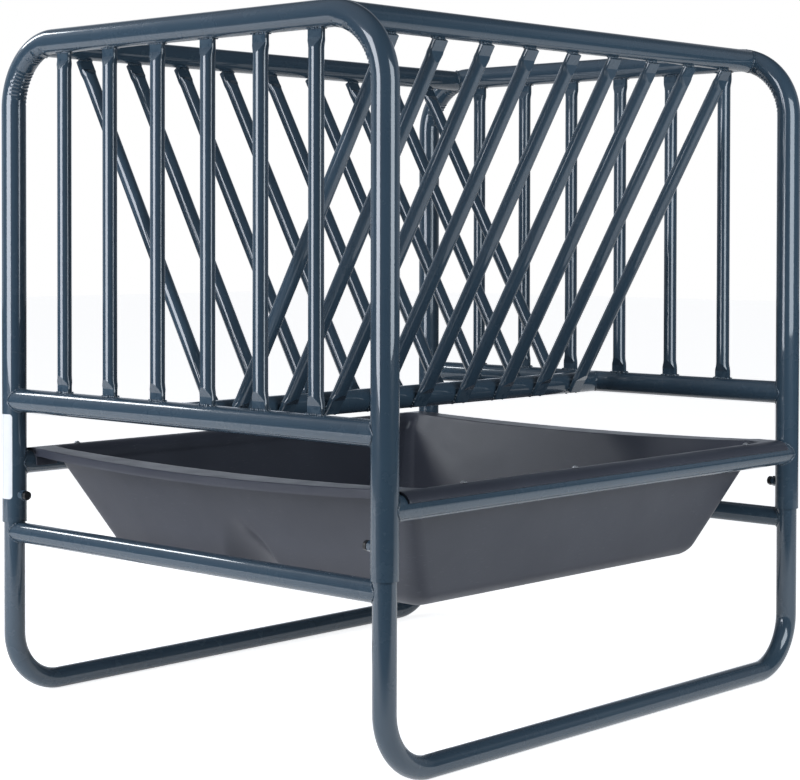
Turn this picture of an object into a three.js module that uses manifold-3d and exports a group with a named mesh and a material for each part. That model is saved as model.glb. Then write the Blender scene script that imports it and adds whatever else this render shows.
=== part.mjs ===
// Livestock hay feeder: a V-shaped bar rack over a plastic trough, in a bent tube frame
// that telescopes on two U-shaped skids and is held by four set bolts.
// Millimetres, +Z up, the floor at z = 0. X runs along the skids, Y across the hoops.

import * as THREE from "three";
import { mergeVertices } from "three/addons/utils/BufferGeometryUtils.js";
import Module from "manifold-3d";

const kernel = await Module();
kernel.setup();

// Overall frame
const sideSpan = 1136;
const endSpan = 932;
const overallHeight = 1215;
const fitGap = 0.3;
const cutOverrun = 4;

// Hoops: bent tubes, whose posts end as sleeves
const hoop = { outerD: 44.5, wall: 1.65, bendRadius: 117 };

// Straight rails welded between the hoops and their posts
const rail = { outerD: 42.7, wall: 1.65 };
const crossRailZ = 545;
const troughRailZ = 429.5;
const topRailInset = 87;

// Bars with ends pinched flat before they are welded
const bar = { outerD: 25.4, wall: 1.5, flatWidth: 32, flatThickness: 9, flatLength: 24, pinchLength: 20 };
const endBars = { count: 6, pitch: 127 };
const rackBars = { count: 9, pitch: 117.5, lapLength: 26, lapOverrun: 3 };

// Base: two skids whose legs slide in the sleeves, tied by two rails
const skid = { outerD: 38.1, wall: 1.65, bendRadius: 100, legInSleeve: 180 };
const tie = { outerD: 36.6, wall: 1.65, z: 303.5 };

// Weld nuts and the set bolts in them
const nut = { acrossFlats: 17, thickness: 9, z: 372 };
const bolt = { shankD: 9.5, turnGap: 0.12, pointD: 6.5, pointHeight: 1.8 };
const boltHead = { acrossFlats: 15, height: 6.5, crown: 1.2, reach: 18 };

// Trough: one moulded tub that hooks over the two trough rails
const trough = { skin: 4, depth: 186.5, topCorner: 22, floorCorner: 34, floorFillet: 24, hookEdgeRise: 10 };
const endWallInset = 70;
const endWallSlopeShare = 0.52;
const sideWallSlopeShare = 0.39;
const endFlange = { inset: 32, bulge: 17, sag: 10, lipDrop: 15 };

// A channel scooped out of the lower half of each end wall
const scoop = { radius: 88, topBelowRail: 76, reach: 210 };
const scoopSlopeShare = 1.1;

// Self-drilling screws that pin the trough's hooks to the rails
const screw = { shankD: 4.8, length: 15, headD: 12, headHeight: 3.4, rimHeight: 1, tipHeight: 4 };
const screwPlaceShares = [-0.339, -0.086, 0.373];

// Facets of each kind of round
const tubeSides = 12;
const hookSides = 24;
const barSides = 8;
const bendSteps = 7;
const boltSides = 12;
const screwSides = 8;
const cornerSteps = 4;
const filletSteps = 3;
const sagSteps = 8;
const scoopSides = 32;

// Radii, heights and places that follow
const hoopR = hoop.outerD / 2;
const railR = rail.outerD / 2;
const barR = bar.outerD / 2;
const skidR = skid.outerD / 2;
const tieR = tie.outerD / 2;
const halfX = sideSpan / 2;
const halfY = endSpan / 2;
const hoopTopZ = overallHeight - hoopR;
const sleeveEndZ = tie.z + tieR + fitGap;
const legTopZ = sleeveEndZ + skid.legInSleeve;
const topRailY = halfY - topRailInset;
const bendRun = Math.max(hoop.bendRadius - topRailInset, 0);
const topRailZ = hoopTopZ - hoop.bendRadius + Math.sqrt(hoop.bendRadius ** 2 - bendRun ** 2);

const xAxis = new THREE.Vector3(1, 0, 0);
const yAxis = new THREE.Vector3(0, 1, 0);
const zAxis = new THREE.Vector3(0, 0, 1);
const point = (x, y, z) => new THREE.Vector3(x, y, z);

// Finishes

function steelPaint() {
  return new THREE.MeshStandardMaterial({ color: 0x3a4c5a, roughness: 0.32, metalness: 0.35 });
}

function boltSteel() {
  return new THREE.MeshStandardMaterial({ color: 0x23272b, roughness: 0.45, metalness: 0.7 });
}

function screwZinc() {
  return new THREE.MeshStandardMaterial({ color: 0xb4b8bc, roughness: 0.35, metalness: 0.9 });
}

function troughPlastic() {
  return new THREE.MeshStandardMaterial({ color: 0x55585f, roughness: 0.55, metalness: 0 });
}

// Solids and the meshes that show them

function solidOf(positions, triangles) {
  const mesh = new kernel.Mesh({
    numProp: 3,
    vertProperties: new Float32Array(positions),
    triVerts: new Uint32Array(triangles),
  });
  const solid = new kernel.Manifold(mesh);
  if (solid.volume() > 0) return solid;
  mesh.triVerts = mesh.triVerts.reverse();
  return new kernel.Manifold(mesh);
}

function solidFromGeometry(source) {
  const plain = source.clone();
  plain.deleteAttribute("normal");
  plain.deleteAttribute("uv");
  const welded = mergeVertices(plain);
  const corners = Array.from(welded.index.array);
  const triangles = [];
  for (let i = 0; i < corners.length; i += 3) {
    const [a, b, c] = corners.slice(i, i + 3);
    if (a !== b && b !== c && c !== a) triangles.push(a, b, c);
  }
  return solidOf(welded.attributes.position.array, triangles);
}

function geometryOf(solid) {
  const { numProp, vertProperties, triVerts } = solid.getMesh();
  const positions = [];
  for (let i = 0; i < vertProperties.length; i += numProp) positions.push(...vertProperties.slice(i, i + 3));
  const geometry = new THREE.BufferGeometry();
  geometry.setAttribute("position", new THREE.Float32BufferAttribute(positions, 3));
  geometry.setIndex(Array.from(triVerts));
  geometry.computeVertexNormals();
  return geometry;
}

function meshAt(name, geometry, material, place = point(0, 0, 0), tilt = 0) {
  const mesh = new THREE.Mesh(geometry, material());
  mesh.name = name;
  mesh.position.copy(place);
  mesh.rotation.x = tilt;
  return mesh;
}

// Lofts a closed solid through rings of equal point counts, with flat fans as its ends
function loft(rings) {
  const count = rings[0].length;
  const positions = rings.flat().flatMap((p) => [p.x, p.y, p.z]);
  const triangles = [];
  for (let r = 0; r + 1 < rings.length; r += 1) {
    for (let i = 0; i < count; i += 1) {
      const a = r * count + i;
      const b = r * count + ((i + 1) % count);
      triangles.push(a, b, b + count, a, b + count, a + count);
    }
  }
  const last = (rings.length - 1) * count;
  for (let i = 1; i + 1 < count; i += 1) {
    triangles.push(0, i + 1, i, last, last + i, last + i + 1);
  }
  return solidOf(positions, triangles);
}

// A regular polygon whose flats lie at the radius, the first one facing u
function ring(centre, u, v, radius, sides) {
  const corner = radius / Math.cos(Math.PI / sides);
  return Array.from({ length: sides }, (_, i) => {
    const angle = ((i + 0.5) * 2 * Math.PI) / sides;
    return centre
      .clone()
      .addScaledVector(u, corner * Math.cos(angle))
      .addScaledVector(v, corner * Math.sin(angle));
  });
}

function rod(from, to, facing, radius, sides) {
  const across = to.clone().sub(from).normalize().cross(facing);
  return loft([ring(from, facing, across, radius, sides), ring(to, facing, across, radius, sides)]);
}

function block(from, to) {
  const size = to.clone().sub(from);
  const centre = from.clone().addScaledVector(size, 1 / 2);
  const box = new THREE.BoxGeometry(size.x, size.y, size.z);
  return solidFromGeometry(box.translate(centre.x, centre.y, centre.z));
}

function without(solid, cutters) {
  return cutters.reduce((rest, cutter) => rest.subtract(cutter), solid);
}

// Straight tubes along X or Y through the origin, one flat facing the given way

function tubeAlong(axis, halfLength, facing, radius, wall) {
  const end = axis.clone().multiplyScalar(halfLength);
  const boreEnd = axis.clone().multiplyScalar(halfLength + cutOverrun);
  const outer = rod(end.clone().negate(), end, facing, radius, tubeSides);
  return outer.subtract(rod(boreEnd.clone().negate(), boreEnd, facing, radius - wall, tubeSides));
}

// Bent tubes: a U in a vertical plane, open downwards for a hoop and upwards for a skid

function bentRod(along, halfWidth, runZ, endZ, bendRadius, radius) {
  const side = Math.sign(runZ - endZ);
  const across = along.clone().cross(zAxis);
  const ringAt = (a, z, na, nz) => {
    const outward = along.clone().multiplyScalar(na).addScaledVector(zAxis, nz);
    const centre = along.clone().multiplyScalar(a).addScaledVector(zAxis, z);
    return ring(centre, outward, across, radius, tubeSides);
  };
  const rings = [ringAt(-halfWidth, endZ, -1, 0)];
  for (const [sign, start] of [[-1, Math.PI], [1, Math.PI / 2]]) {
    for (let i = 0; i <= bendSteps; i += 1) {
      const angle = start - (Math.PI / 2) * (i / bendSteps);
      const na = Math.cos(angle);
      const nz = side * Math.sin(angle);
      const a = sign * (halfWidth - bendRadius) + bendRadius * na;
      rings.push(ringAt(a, runZ - side * bendRadius + bendRadius * nz, na, nz));
    }
  }
  rings.push(ringAt(halfWidth, endZ, 1, 0));
  return loft(rings);
}

function hoopRod(radius, endZ = sleeveEndZ) {
  return bentRod(yAxis, halfY, hoopTopZ, endZ, hoop.bendRadius, radius);
}

function skidRod(radius, endZ = legTopZ) {
  return bentRod(xAxis, halfX, skidR, endZ, skid.bendRadius, radius);
}

const hoopCutter = hoopRod(hoopR + fitGap, sleeveEndZ - cutOverrun);
const skidCutter = skidRod(skidR + fitGap, legTopZ + cutOverrun);
const bothHoops = [-halfX, halfX].map((x) => hoopCutter.translate([x, 0, 0]));
const bothSkids = [-halfY, halfY].map((y) => skidCutter.translate([0, y, 0]));

// The bolts run along Y through the inner side of each post
function boltWay(sideSign, from, to) {
  return rod(
    point(0, sideSign * (halfY - from), nut.z),
    point(0, sideSign * (halfY - to), nut.z),
    zAxis,
    bolt.shankD / 2 + bolt.turnGap,
    boltSides,
  );
}

function hoopSolid() {
  const tube = hoopRod(hoopR).subtract(hoopRod(hoopR - hoop.wall, sleeveEndZ - cutOverrun));
  return without(tube, [-1, 1].map((sign) => boltWay(sign, hoopR - hoop.wall - cutOverrun, hoopR + cutOverrun)));
}

function skidSolid() {
  return skidRod(skidR).subtract(skidRod(skidR - skid.wall, legTopZ + cutOverrun));
}

// Rails, coped to the tubes that they meet

function crossRailSolid(endSign) {
  const tube = tubeAlong(yAxis, halfY, zAxis, railR, rail.wall);
  return without(tube.translate([endSign * halfX, 0, crossRailZ]), bothHoops);
}

function tieRailSolid(endSign) {
  const tube = tubeAlong(yAxis, halfY, zAxis, tieR, tie.wall);
  return without(tube.translate([endSign * halfX, 0, tie.z]), bothSkids);
}

function topRailSolid(sideSign) {
  const tube = tubeAlong(xAxis, halfX, rakeDown(sideSign), railR, rail.wall);
  return without(tube.translate([0, sideSign * topRailY, topRailZ]), bothHoops);
}

function vRailSolid() {
  const tube = tubeAlong(xAxis, halfX, zAxis, railR, rail.wall);
  const end = point(0, halfY, 0);
  const cutter = rod(end.clone().negate(), end, zAxis, railR + fitGap, tubeSides);
  const crossRails = [-halfX, halfX].map((x) => cutter.translate([x, 0, crossRailZ]));
  return without(tube.translate([0, 0, crossRailZ]), crossRails);
}

function troughRailSolid(sideSign) {
  const tube = tubeAlong(xAxis, halfX, zAxis, railR, rail.wall);
  const placed = tube.translate([0, sideSign * halfY, troughRailZ]);
  return without(placed, [...bothHoops, ...screwHoles(sideSign)]);
}

function screwPlaces(sideSign) {
  return screwPlaceShares.map((share) => point(-sideSign * share * sideSpan, sideSign * halfY, hookTopZ));
}

function screwHoles(sideSign) {
  return screwPlaces(sideSign).map((top) =>
    rod(
      point(top.x, top.y, troughRailZ),
      point(top.x, top.y, top.z + cutOverrun),
      xAxis,
      screw.shankD / 2 + fitGap,
      screwSides,
    ),
  );
}

// Bars with pinched ends, built hanging down from the origin

// The section is round at flatness 0 and a thin stadium at flatness 1
function barRing(z, inset, flatness) {
  const halfWide = bar.flatWidth / 2 - inset;
  const halfThin = bar.flatThickness / 2 - inset;
  const corner = (barR - inset) / Math.cos(Math.PI / barSides);
  return Array.from({ length: barSides }, (_, i) => {
    const angle = ((i + 0.5) * 2 * Math.PI) / barSides;
    const flatX = (halfWide * Math.cos(angle)) / Math.cos(Math.PI / barSides);
    const flatY = halfThin * THREE.MathUtils.clamp(Math.sin(angle) / Math.SQRT1_2, -1, 1);
    return point(
      THREE.MathUtils.lerp(corner * Math.cos(angle), flatX, flatness),
      THREE.MathUtils.lerp(corner * Math.sin(angle), flatY, flatness),
      z,
    );
  });
}

function pinchedBarSolid(from, to, lowerFlat) {
  const profile = (inset, overrun) =>
    loft([
      barRing(-from + overrun, inset, 1),
      barRing(-from - bar.flatLength, inset, 1),
      barRing(-from - bar.flatLength - bar.pinchLength, inset, 0),
      barRing(-to + lowerFlat + bar.pinchLength, inset, 0),
      barRing(-to + lowerFlat, inset, 1),
      barRing(-to - overrun, inset, 1),
    ]);
  return profile(0, 0).subtract(profile(bar.wall, cutOverrun));
}

function endBarSolid() {
  const bottom = hoopTopZ - crossRailZ - railR - fitGap;
  return pinchedBarSolid(hoopR + fitGap, bottom, bar.flatLength);
}

function endBarPlace(endSign, index) {
  const y = (index - (endBars.count - 1) / 2) * endBars.pitch;
  return point(endSign * halfX, y, hoopTopZ);
}

// The rack bars run from the top rail's centre past the outer face of the V rail
const lapOffset = railR + fitGap + bar.flatThickness / 2;
const rakeRun = Math.hypot(topRailY, topRailZ - crossRailZ);
const rakeAngle = Math.atan2(topRailZ - crossRailZ, topRailY) + Math.asin(lapOffset / rakeRun);
const rakeLength = Math.sqrt(rakeRun ** 2 - lapOffset ** 2);

function rakeDown(sideSign) {
  return point(0, -sideSign * Math.cos(rakeAngle), -Math.sin(rakeAngle));
}

function rackBarSolid() {
  return pinchedBarSolid(railR + fitGap, rakeLength + rackBars.lapOverrun, rackBars.lapLength);
}

function rackBarPlace(sideSign, index) {
  const x = (index - (rackBars.count - 1) / 2) * rackBars.pitch;
  return point(x, sideSign * topRailY, topRailZ);
}

// Weld nuts and set bolts, built upright on the post's face

function hexagon(acrossFlats, fromZ, height) {
  const shape = new THREE.Shape();
  const corner = acrossFlats / 2 / Math.cos(Math.PI / 6);
  for (let i = 0; i < 6; i += 1) {
    const angle = (i * Math.PI) / 3;
    shape[i === 0 ? "moveTo" : "lineTo"](corner * Math.cos(angle), corner * Math.sin(angle));
  }
  const prism = new THREE.ExtrudeGeometry(shape, { depth: height, bevelEnabled: false });
  return solidFromGeometry(prism.translate(0, 0, fromZ));
}

// Turns a profile of radius and height about the Z axis
function turned(profile, sides) {
  const points = profile.map(([radius, height]) => new THREE.Vector2(radius, height));
  return solidFromGeometry(new THREE.LatheGeometry(points, sides).rotateX(Math.PI / 2));
}

function nutSolid() {
  const bore = rod(
    point(0, 0, -cutOverrun),
    point(0, 0, nut.thickness + cutOverrun),
    xAxis,
    bolt.shankD / 2 + bolt.turnGap,
    boltSides,
  );
  return hexagon(nut.acrossFlats, 0, nut.thickness).subtract(bore);
}

// A pointed shank under a hexagon head whose outer edge is turned to a crown
function boltSolid() {
  const shankR = bolt.shankD / 2;
  const top = hoopR + boltHead.reach - skidR - fitGap;
  const base = top - boltHead.height;
  const crownR = boltHead.acrossFlats / 2;
  const cornerR = crownR / Math.cos(Math.PI / 6) + cutOverrun;
  const shank = [[0, 0], [bolt.pointD / 2, 0], [shankR, bolt.pointHeight], [shankR, top], [0, top]];
  const crown = [
    [0, base],
    [cornerR, base],
    [cornerR, top - boltHead.crown - cutOverrun / 2],
    [crownR - boltHead.crown, top],
    [0, top],
  ];
  const head = hexagon(boltHead.acrossFlats, base, boltHead.height);
  return turned(shank, boltSides).add(head.intersect(turned(crown, boltSides)));
}

function onPost(endSign, sideSign, standOff) {
  return point(endSign * halfX, sideSign * (halfY - standOff), nut.z);
}

function screwSolid() {
  const shankR = screw.shankD / 2;
  const tip = fitGap - screw.length;
  const top = fitGap + screw.headHeight;
  const profile = [
    [0, tip],
    [shankR, tip + screw.tipHeight],
    [shankR, fitGap],
    [screw.headD / 2, fitGap],
    [screw.headD / 2, fitGap + screw.rimHeight],
    [shankR, top],
    [0, top],
  ];
  return turned(profile, screwSides);
}

// Trough: basin walls, scooped channels, bowed end flanges and hooks over the rails

const hookR = railR + fitGap;
const hookOuterR = hookR + trough.skin;
const hookTopZ = troughRailZ + hookOuterR;
const hookEndZ = troughRailZ - hookR * Math.tan(Math.PI / tubeSides);
const floorZ = troughRailZ - trough.depth;
const endWallTopX = halfX - endWallInset;
const flangeEdgeX = halfX - endFlange.inset;
const sideFaceY = halfY - hookR;
const openTopZ = hookTopZ + cutOverrun;

const endWallX = (z) => endWallTopX - endWallSlopeShare * (hookTopZ - z);
const sideWallY = (z) => sideFaceY - sideWallSlopeShare * Math.max(hookEndZ - z, 0);

// How far the end flange bows at a place across: 1 in the middle, 0 from the hooks on
const bow = (y) => Math.max(1 - (y / (halfY - hookOuterR)) ** 2, 0);

function roundedLoop(halfLength, halfWidth, corner, z) {
  const loop = [];
  for (const [sx, sy, quarter] of [[1, 1, 0], [-1, 1, 1], [-1, -1, 2], [1, -1, 3]]) {
    for (let i = 0; i <= cornerSteps; i += 1) {
      const angle = (Math.PI / 2) * (quarter + i / cornerSteps);
      const x = sx * (halfLength - corner) + corner * Math.cos(angle);
      loop.push(point(x, sy * (halfWidth - corner) + corner * Math.sin(angle), z));
    }
  }
  return loop;
}

// Loops from above the rim down the leaning walls and round the floor's edge
function basin(inset, shoulderY) {
  const cornerAt = (z) => {
    const share = THREE.MathUtils.clamp((hookEndZ - z) / (hookEndZ - floorZ), 0, 1);
    return THREE.MathUtils.lerp(trough.topCorner, trough.floorCorner, share) - inset;
  };
  const loopAt = (z, halfWidth, tuck = 0) =>
    roundedLoop(endWallX(z) - inset - tuck, halfWidth - tuck, cornerAt(z) - tuck, z);
  const bottom = floorZ + inset;
  const fillet = Math.min(trough.floorFillet, trough.floorCorner) - inset;
  const loops = [
    loopAt(openTopZ, shoulderY),
    loopAt(troughRailZ, shoulderY),
    loopAt(hookEndZ, sideWallY(hookEndZ) - inset),
    loopAt(bottom + fillet, sideWallY(bottom + fillet) - inset),
  ];
  for (let i = 1; i <= filletSteps; i += 1) {
    const angle = (Math.PI / 2) * (i / filletSteps);
    const z = bottom + fillet * (1 - Math.sin(angle));
    loops.push(loopAt(z, sideWallY(z) - inset, fillet * (1 - Math.cos(angle))));
  }
  return loft(loops);
}

function scoopRods(extra) {
  const topZ = troughRailZ - scoop.topBelowRail;
  return [-1, 1].map((sign) => {
    const along = point(-sign * scoopSlopeShare, 0, -1).normalize();
    const outward = point(-sign * along.z, 0, sign * along.x);
    const start = point(sign * endWallX(topZ), 0, topZ)
      .addScaledVector(outward, scoop.radius)
      .addScaledVector(along, -extra);
    const end = start.clone().addScaledVector(along, scoop.reach);
    return rod(start, end, yAxis, scoop.radius + extra, scoopSides);
  });
}

// Lofts across the trough; each section is a box in X and Z that follows the bow
function acrossTrough(reachY, sectionAt) {
  const sections = [];
  for (let i = 0; i <= sagSteps; i += 1) {
    const y = reachY * ((2 * i) / sagSteps - 1);
    const { x0, x1, z0, z1 } = sectionAt(bow(y));
    sections.push([point(x0, y, z0), point(x1, y, z0), point(x1, y, z1), point(x0, y, z1)]);
  }
  return loft(sections);
}

// A bowed shelf with a turned-down lip, both as yet reaching above the rim
function endFlangeSolid(sign) {
  const shelf = acrossTrough(halfY, (share) => ({
    x0: sign * (endWallTopX - trough.skin),
    x1: sign * (flangeEdgeX + endFlange.bulge * share),
    z0: hookTopZ - endFlange.sag * share - trough.skin,
    z1: openTopZ,
  }));
  const lip = acrossTrough(sideFaceY, (share) => ({
    x0: sign * (flangeEdgeX + endFlange.bulge * share - trough.skin),
    x1: sign * (flangeEdgeX + endFlange.bulge * share),
    z0: hookTopZ - endFlange.sag * share - endFlange.lipDrop,
    z1: openTopZ,
  }));
  return shelf.add(lip);
}

// Everything above the sagging rim
function rimCutter() {
  return acrossTrough(halfY + hookOuterR, (share) => ({
    x0: -halfX,
    x1: halfX,
    z0: hookTopZ - endFlange.sag * share,
    z1: openTopZ + cutOverrun,
  }));
}

function alongRail(sideSign, reach, radius, facets) {
  const y = sideSign * halfY;
  return rod(point(-reach, y, troughRailZ), point(reach, y, troughRailZ), zAxis, radius, facets);
}

// A hook over the rail: its inner side runs on as the wall, its outer edge stops above the rail's middle
function hookSolid(sideSign) {
  const y = sideSign * halfY;
  const reach = hookOuterR + cutOverrun;
  const edgeZ = troughRailZ + trough.hookEdgeRise;
  const [y0, y1] = [y, y + sideSign * reach].sort((a, b) => a - b);
  const below = block(point(-halfX, y - reach, troughRailZ - reach), point(halfX, y + reach, hookEndZ));
  const outside = block(point(-halfX, y0, troughRailZ - reach), point(halfX, y1, edgeZ));
  return alongRail(sideSign, flangeEdgeX, hookOuterR, hookSides).subtract(below).subtract(outside);
}

// The rail's own way through the hook, open downwards
function railWay(sideSign) {
  const y = sideSign * halfY;
  const below = block(point(-halfX, y - hookR, floorZ), point(halfX, y + hookR, troughRailZ));
  return alongRail(sideSign, halfX, hookR, tubeSides).add(below);
}

// Between the end walls, what stands inside the hook's curve and above it
function hookShoulder(sideSign) {
  const insideX = endWallTopX - trough.skin;
  const [y0, y1] = [sideSign * halfY, sideSign * (halfY - hookOuterR)].sort((a, b) => a - b);
  const corner = block(point(-insideX, y0, troughRailZ), point(insideX, y1, openTopZ + cutOverrun));
  return corner.subtract(alongRail(sideSign, halfX, hookOuterR, hookSides));
}

function troughSolid() {
  const signs = [-1, 1];
  const parts = [...signs.map(endFlangeSolid), ...signs.map(hookSolid)];
  const outside = without(basin(0, halfY), scoopRods(0));
  const inside = without(basin(trough.skin, sideFaceY - trough.skin), scoopRods(trough.skin));
  const cutters = [inside, rimCutter(), ...signs.map(hookShoulder), ...signs.map(railWay)];
  const body = parts.reduce((whole, piece) => whole.add(piece), outside);
  return without(body, [...cutters, ...signs.flatMap(screwHoles)]);
}

// Assembly

const ends = [[-1, "a"], [1, "b"]];
const sides = [[-1, "near"], [1, "far"]];
const quarterTurn = Math.PI / 2;

function groupOf(name, meshes) {
  const group = new THREE.Group();
  group.name = name;
  group.add(...meshes);
  return group;
}

function baseMeshes() {
  const skidShape = geometryOf(skidSolid());
  return [
    ...sides.map(([sign, label]) => meshAt(`skid_${label}`, skidShape, steelPaint, point(0, sign * halfY, 0))),
    ...ends.map(([sign, label]) => meshAt(`tie_rail_${label}`, geometryOf(tieRailSolid(sign)), steelPaint)),
  ];
}

function frameMeshes() {
  const hoopShape = geometryOf(hoopSolid());
  return [
    ...ends.flatMap(([sign, label]) => [
      meshAt(`hoop_${label}`, hoopShape, steelPaint, point(sign * halfX, 0, 0)),
      meshAt(`cross_rail_${label}`, geometryOf(crossRailSolid(sign)), steelPaint),
    ]),
    ...sides.flatMap(([sign, label]) => [
      meshAt(`top_rail_${label}`, geometryOf(topRailSolid(sign)), steelPaint),
      meshAt(`trough_rail_${label}`, geometryOf(troughRailSolid(sign)), steelPaint),
    ]),
    meshAt("v_rail", geometryOf(vRailSolid()), steelPaint),
  ];
}

function rackMeshes() {
  const endShape = geometryOf(endBarSolid());
  const rackShape = geometryOf(rackBarSolid());
  const meshes = [];
  for (const [sign, label] of ends) {
    for (let i = 0; i < endBars.count; i += 1) {
      const bar = meshAt(`end_bar_${label}${i + 1}`, endShape, steelPaint, endBarPlace(sign, i));
      bar.rotation.z = quarterTurn;
      meshes.push(bar);
    }
  }
  for (const [sign, label] of sides) {
    const tilt = sign * (rakeAngle - quarterTurn);
    for (let i = 0; i < rackBars.count; i += 1) {
      meshes.push(meshAt(`rack_bar_${label}${i + 1}`, rackShape, steelPaint, rackBarPlace(sign, i), tilt));
    }
  }
  return meshes;
}

function boltMeshes() {
  const nutShape = geometryOf(nutSolid());
  const boltShape = geometryOf(boltSolid());
  return ends.flatMap(([endSign, endLabel]) =>
    sides.flatMap(([sideSign, sideLabel]) => {
      const label = `${endLabel}_${sideLabel}`;
      const tilt = sideSign * quarterTurn;
      const nutPlace = onPost(endSign, sideSign, hoopR + fitGap);
      const boltPlace = onPost(endSign, sideSign, skidR + fitGap);
      return [
        meshAt(`weld_nut_${label}`, nutShape, steelPaint, nutPlace, tilt),
        meshAt(`set_bolt_${label}`, boltShape, boltSteel, boltPlace, tilt),
      ];
    }),
  );
}

function troughMeshes() {
  const screwShape = geometryOf(screwSolid());
  const screws = sides.flatMap(([sign, label]) =>
    screwPlaces(sign).map((place, i) => meshAt(`trough_screw_${label}${i + 1}`, screwShape, screwZinc, place)),
  );
  return [meshAt("trough", geometryOf(troughSolid()), troughPlastic), ...screws];
}

const feeder = groupOf("hay_feeder", [
  groupOf("base", baseMeshes()),
  groupOf("frame", frameMeshes()),
  groupOf("rack", rackMeshes()),
  groupOf("set_bolts", boltMeshes()),
  groupOf("trough_set", troughMeshes()),
]);

export default feeder;
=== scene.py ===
"""Looks of a free-standing hay feeder: bent tube frame, bar rack, skids and moulded trough.

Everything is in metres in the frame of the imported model: X runs along the skids, Y across
the hoops, and Z up from the floor.
"""

import logging
import math
import random
from contextlib import contextmanager
from dataclasses import dataclass, field
from enum import Enum
from typing import Callable, Iterator, Sequence

import bmesh
import bpy
from mathutils import Matrix, Vector


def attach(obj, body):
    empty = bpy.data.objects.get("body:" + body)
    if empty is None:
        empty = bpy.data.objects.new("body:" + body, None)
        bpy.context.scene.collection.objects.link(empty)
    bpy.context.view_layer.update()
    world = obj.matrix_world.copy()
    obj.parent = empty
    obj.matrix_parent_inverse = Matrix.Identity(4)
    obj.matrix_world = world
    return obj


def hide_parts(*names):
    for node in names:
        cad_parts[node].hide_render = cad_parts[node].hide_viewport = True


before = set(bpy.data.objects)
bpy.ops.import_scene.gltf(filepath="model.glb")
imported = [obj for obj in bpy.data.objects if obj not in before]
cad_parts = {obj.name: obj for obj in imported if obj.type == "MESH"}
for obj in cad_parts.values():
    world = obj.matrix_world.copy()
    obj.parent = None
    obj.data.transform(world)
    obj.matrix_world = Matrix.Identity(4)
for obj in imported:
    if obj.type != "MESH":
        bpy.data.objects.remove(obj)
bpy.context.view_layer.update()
LOG = logging.getLogger("hay_feeder")

X_AXIS = Vector((1, 0, 0))
Y_AXIS = Vector((0, 1, 0))
Z_AXIS = Vector((0, 0, 1))
NIL = 1e-6
MERGE = 1e-5
QUARTER = math.pi / 2

Piece = bpy.types.Object
Socket = bpy.types.NodeSocket
Colour = tuple[float, float, float]
Range = tuple[float, float]
Place = Callable[[Vector], Vector]
Test = Callable[[Vector], bool]
Tacks = list[tuple[Vector, float]]
Column = tuple[str, int, int, float]
Rows = list[list[Vector]]


class Sign(Enum):
    """A place on one side of the middle, by its sign."""

    @property
    def label(self) -> str:
        """Its word in the node names."""
        return self.name.lower()


class End(Sign):
    """The two hoops, along X."""

    A = -1
    B = 1


class Side(Sign):
    """The two long sides, along Y."""

    NEAR = -1
    FAR = 1


class Slot(Enum):
    """The record's material slots."""

    PAINT = "steel_paint"
    BOLT = "bolt_steel"
    SCREW = "screw_zinc"
    PLASTIC = "trough_plastic"


@dataclass(frozen=True)
class Layout:
    """Places and radii that more than one sub-assembly needs."""

    half_x: float = 0.568
    half_y: float = 0.466
    hoop_radius: float = 0.02225
    hoop_top: float = 1.19275
    hoop_bend: float = 0.117
    sleeve_end: float = 0.3221
    skid_radius: float = 0.01905
    leg_top: float = 0.5021
    rail_radius: float = 0.02135
    tube_wall: float = 0.00165
    cross_rail_z: float = 0.545
    trough_rail_z: float = 0.4295
    top_rail_y: float = 0.379
    nut_z: float = 0.372
    fit_gap: float = 0.0003
    trough_rim: float = 0.45515
    sticker_lift: float = 0.00001

    @property
    def top_rail_z(self) -> float:
        """Height of the top side rails, which meet the hoops in their bends."""
        run = self.hoop_bend - (self.half_y - self.top_rail_y)
        return self.hoop_top - self.hoop_bend + math.sqrt(self.hoop_bend**2 - run**2)

    def rake(self, lap: float, set_out: float) -> tuple[float, float]:
        """The slope of the rack bars.

        Args:
            lap: distance from the V rail's axis to the bars' axis.
            set_out: distance from a top rail's axis to the bars' axis, on the same side.

        Returns:
            The bars' angle above the floor, and their length from rail to rail.
        """
        rise = self.top_rail_z - self.cross_rail_z
        run = math.hypot(self.top_rail_y, rise)
        angle = math.atan2(rise, self.top_rail_y) + math.asin((lap - set_out) / run)
        return angle, math.sqrt(run**2 - (lap - set_out) ** 2)


LAYOUT = Layout()


def lerp(a: float, b: float, share: float) -> float:
    """The value at a share of the way from a to b."""
    return a + (b - a) * share


def clamp(value: float, low: float = 0.0, high: float = 1.0) -> float:
    """The value kept between two limits."""
    return max(low, min(high, value))


def ease(share: float) -> float:
    """A share from 0 to 1 that starts and ends gently."""
    share = clamp(share)
    return share * share * (3 - 2 * share)


def soft_min(a: float, b: float, blend: float) -> float:
    """The smaller of two lengths, rounded off where they are alike."""
    near = max(blend - abs(a - b), 0.0) / blend
    return min(a, b) - near * near * blend / 4


def saddle(radius: float, lateral: float) -> float:
    """How far a crossing tube's surface stands off its axis at a distance to the side."""
    return math.sqrt(max(radius * radius - lateral * lateral, 0.0))


def upright(z: float) -> Vector:
    """The place at a height on the Z axis."""
    return Vector((0, 0, z))


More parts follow.
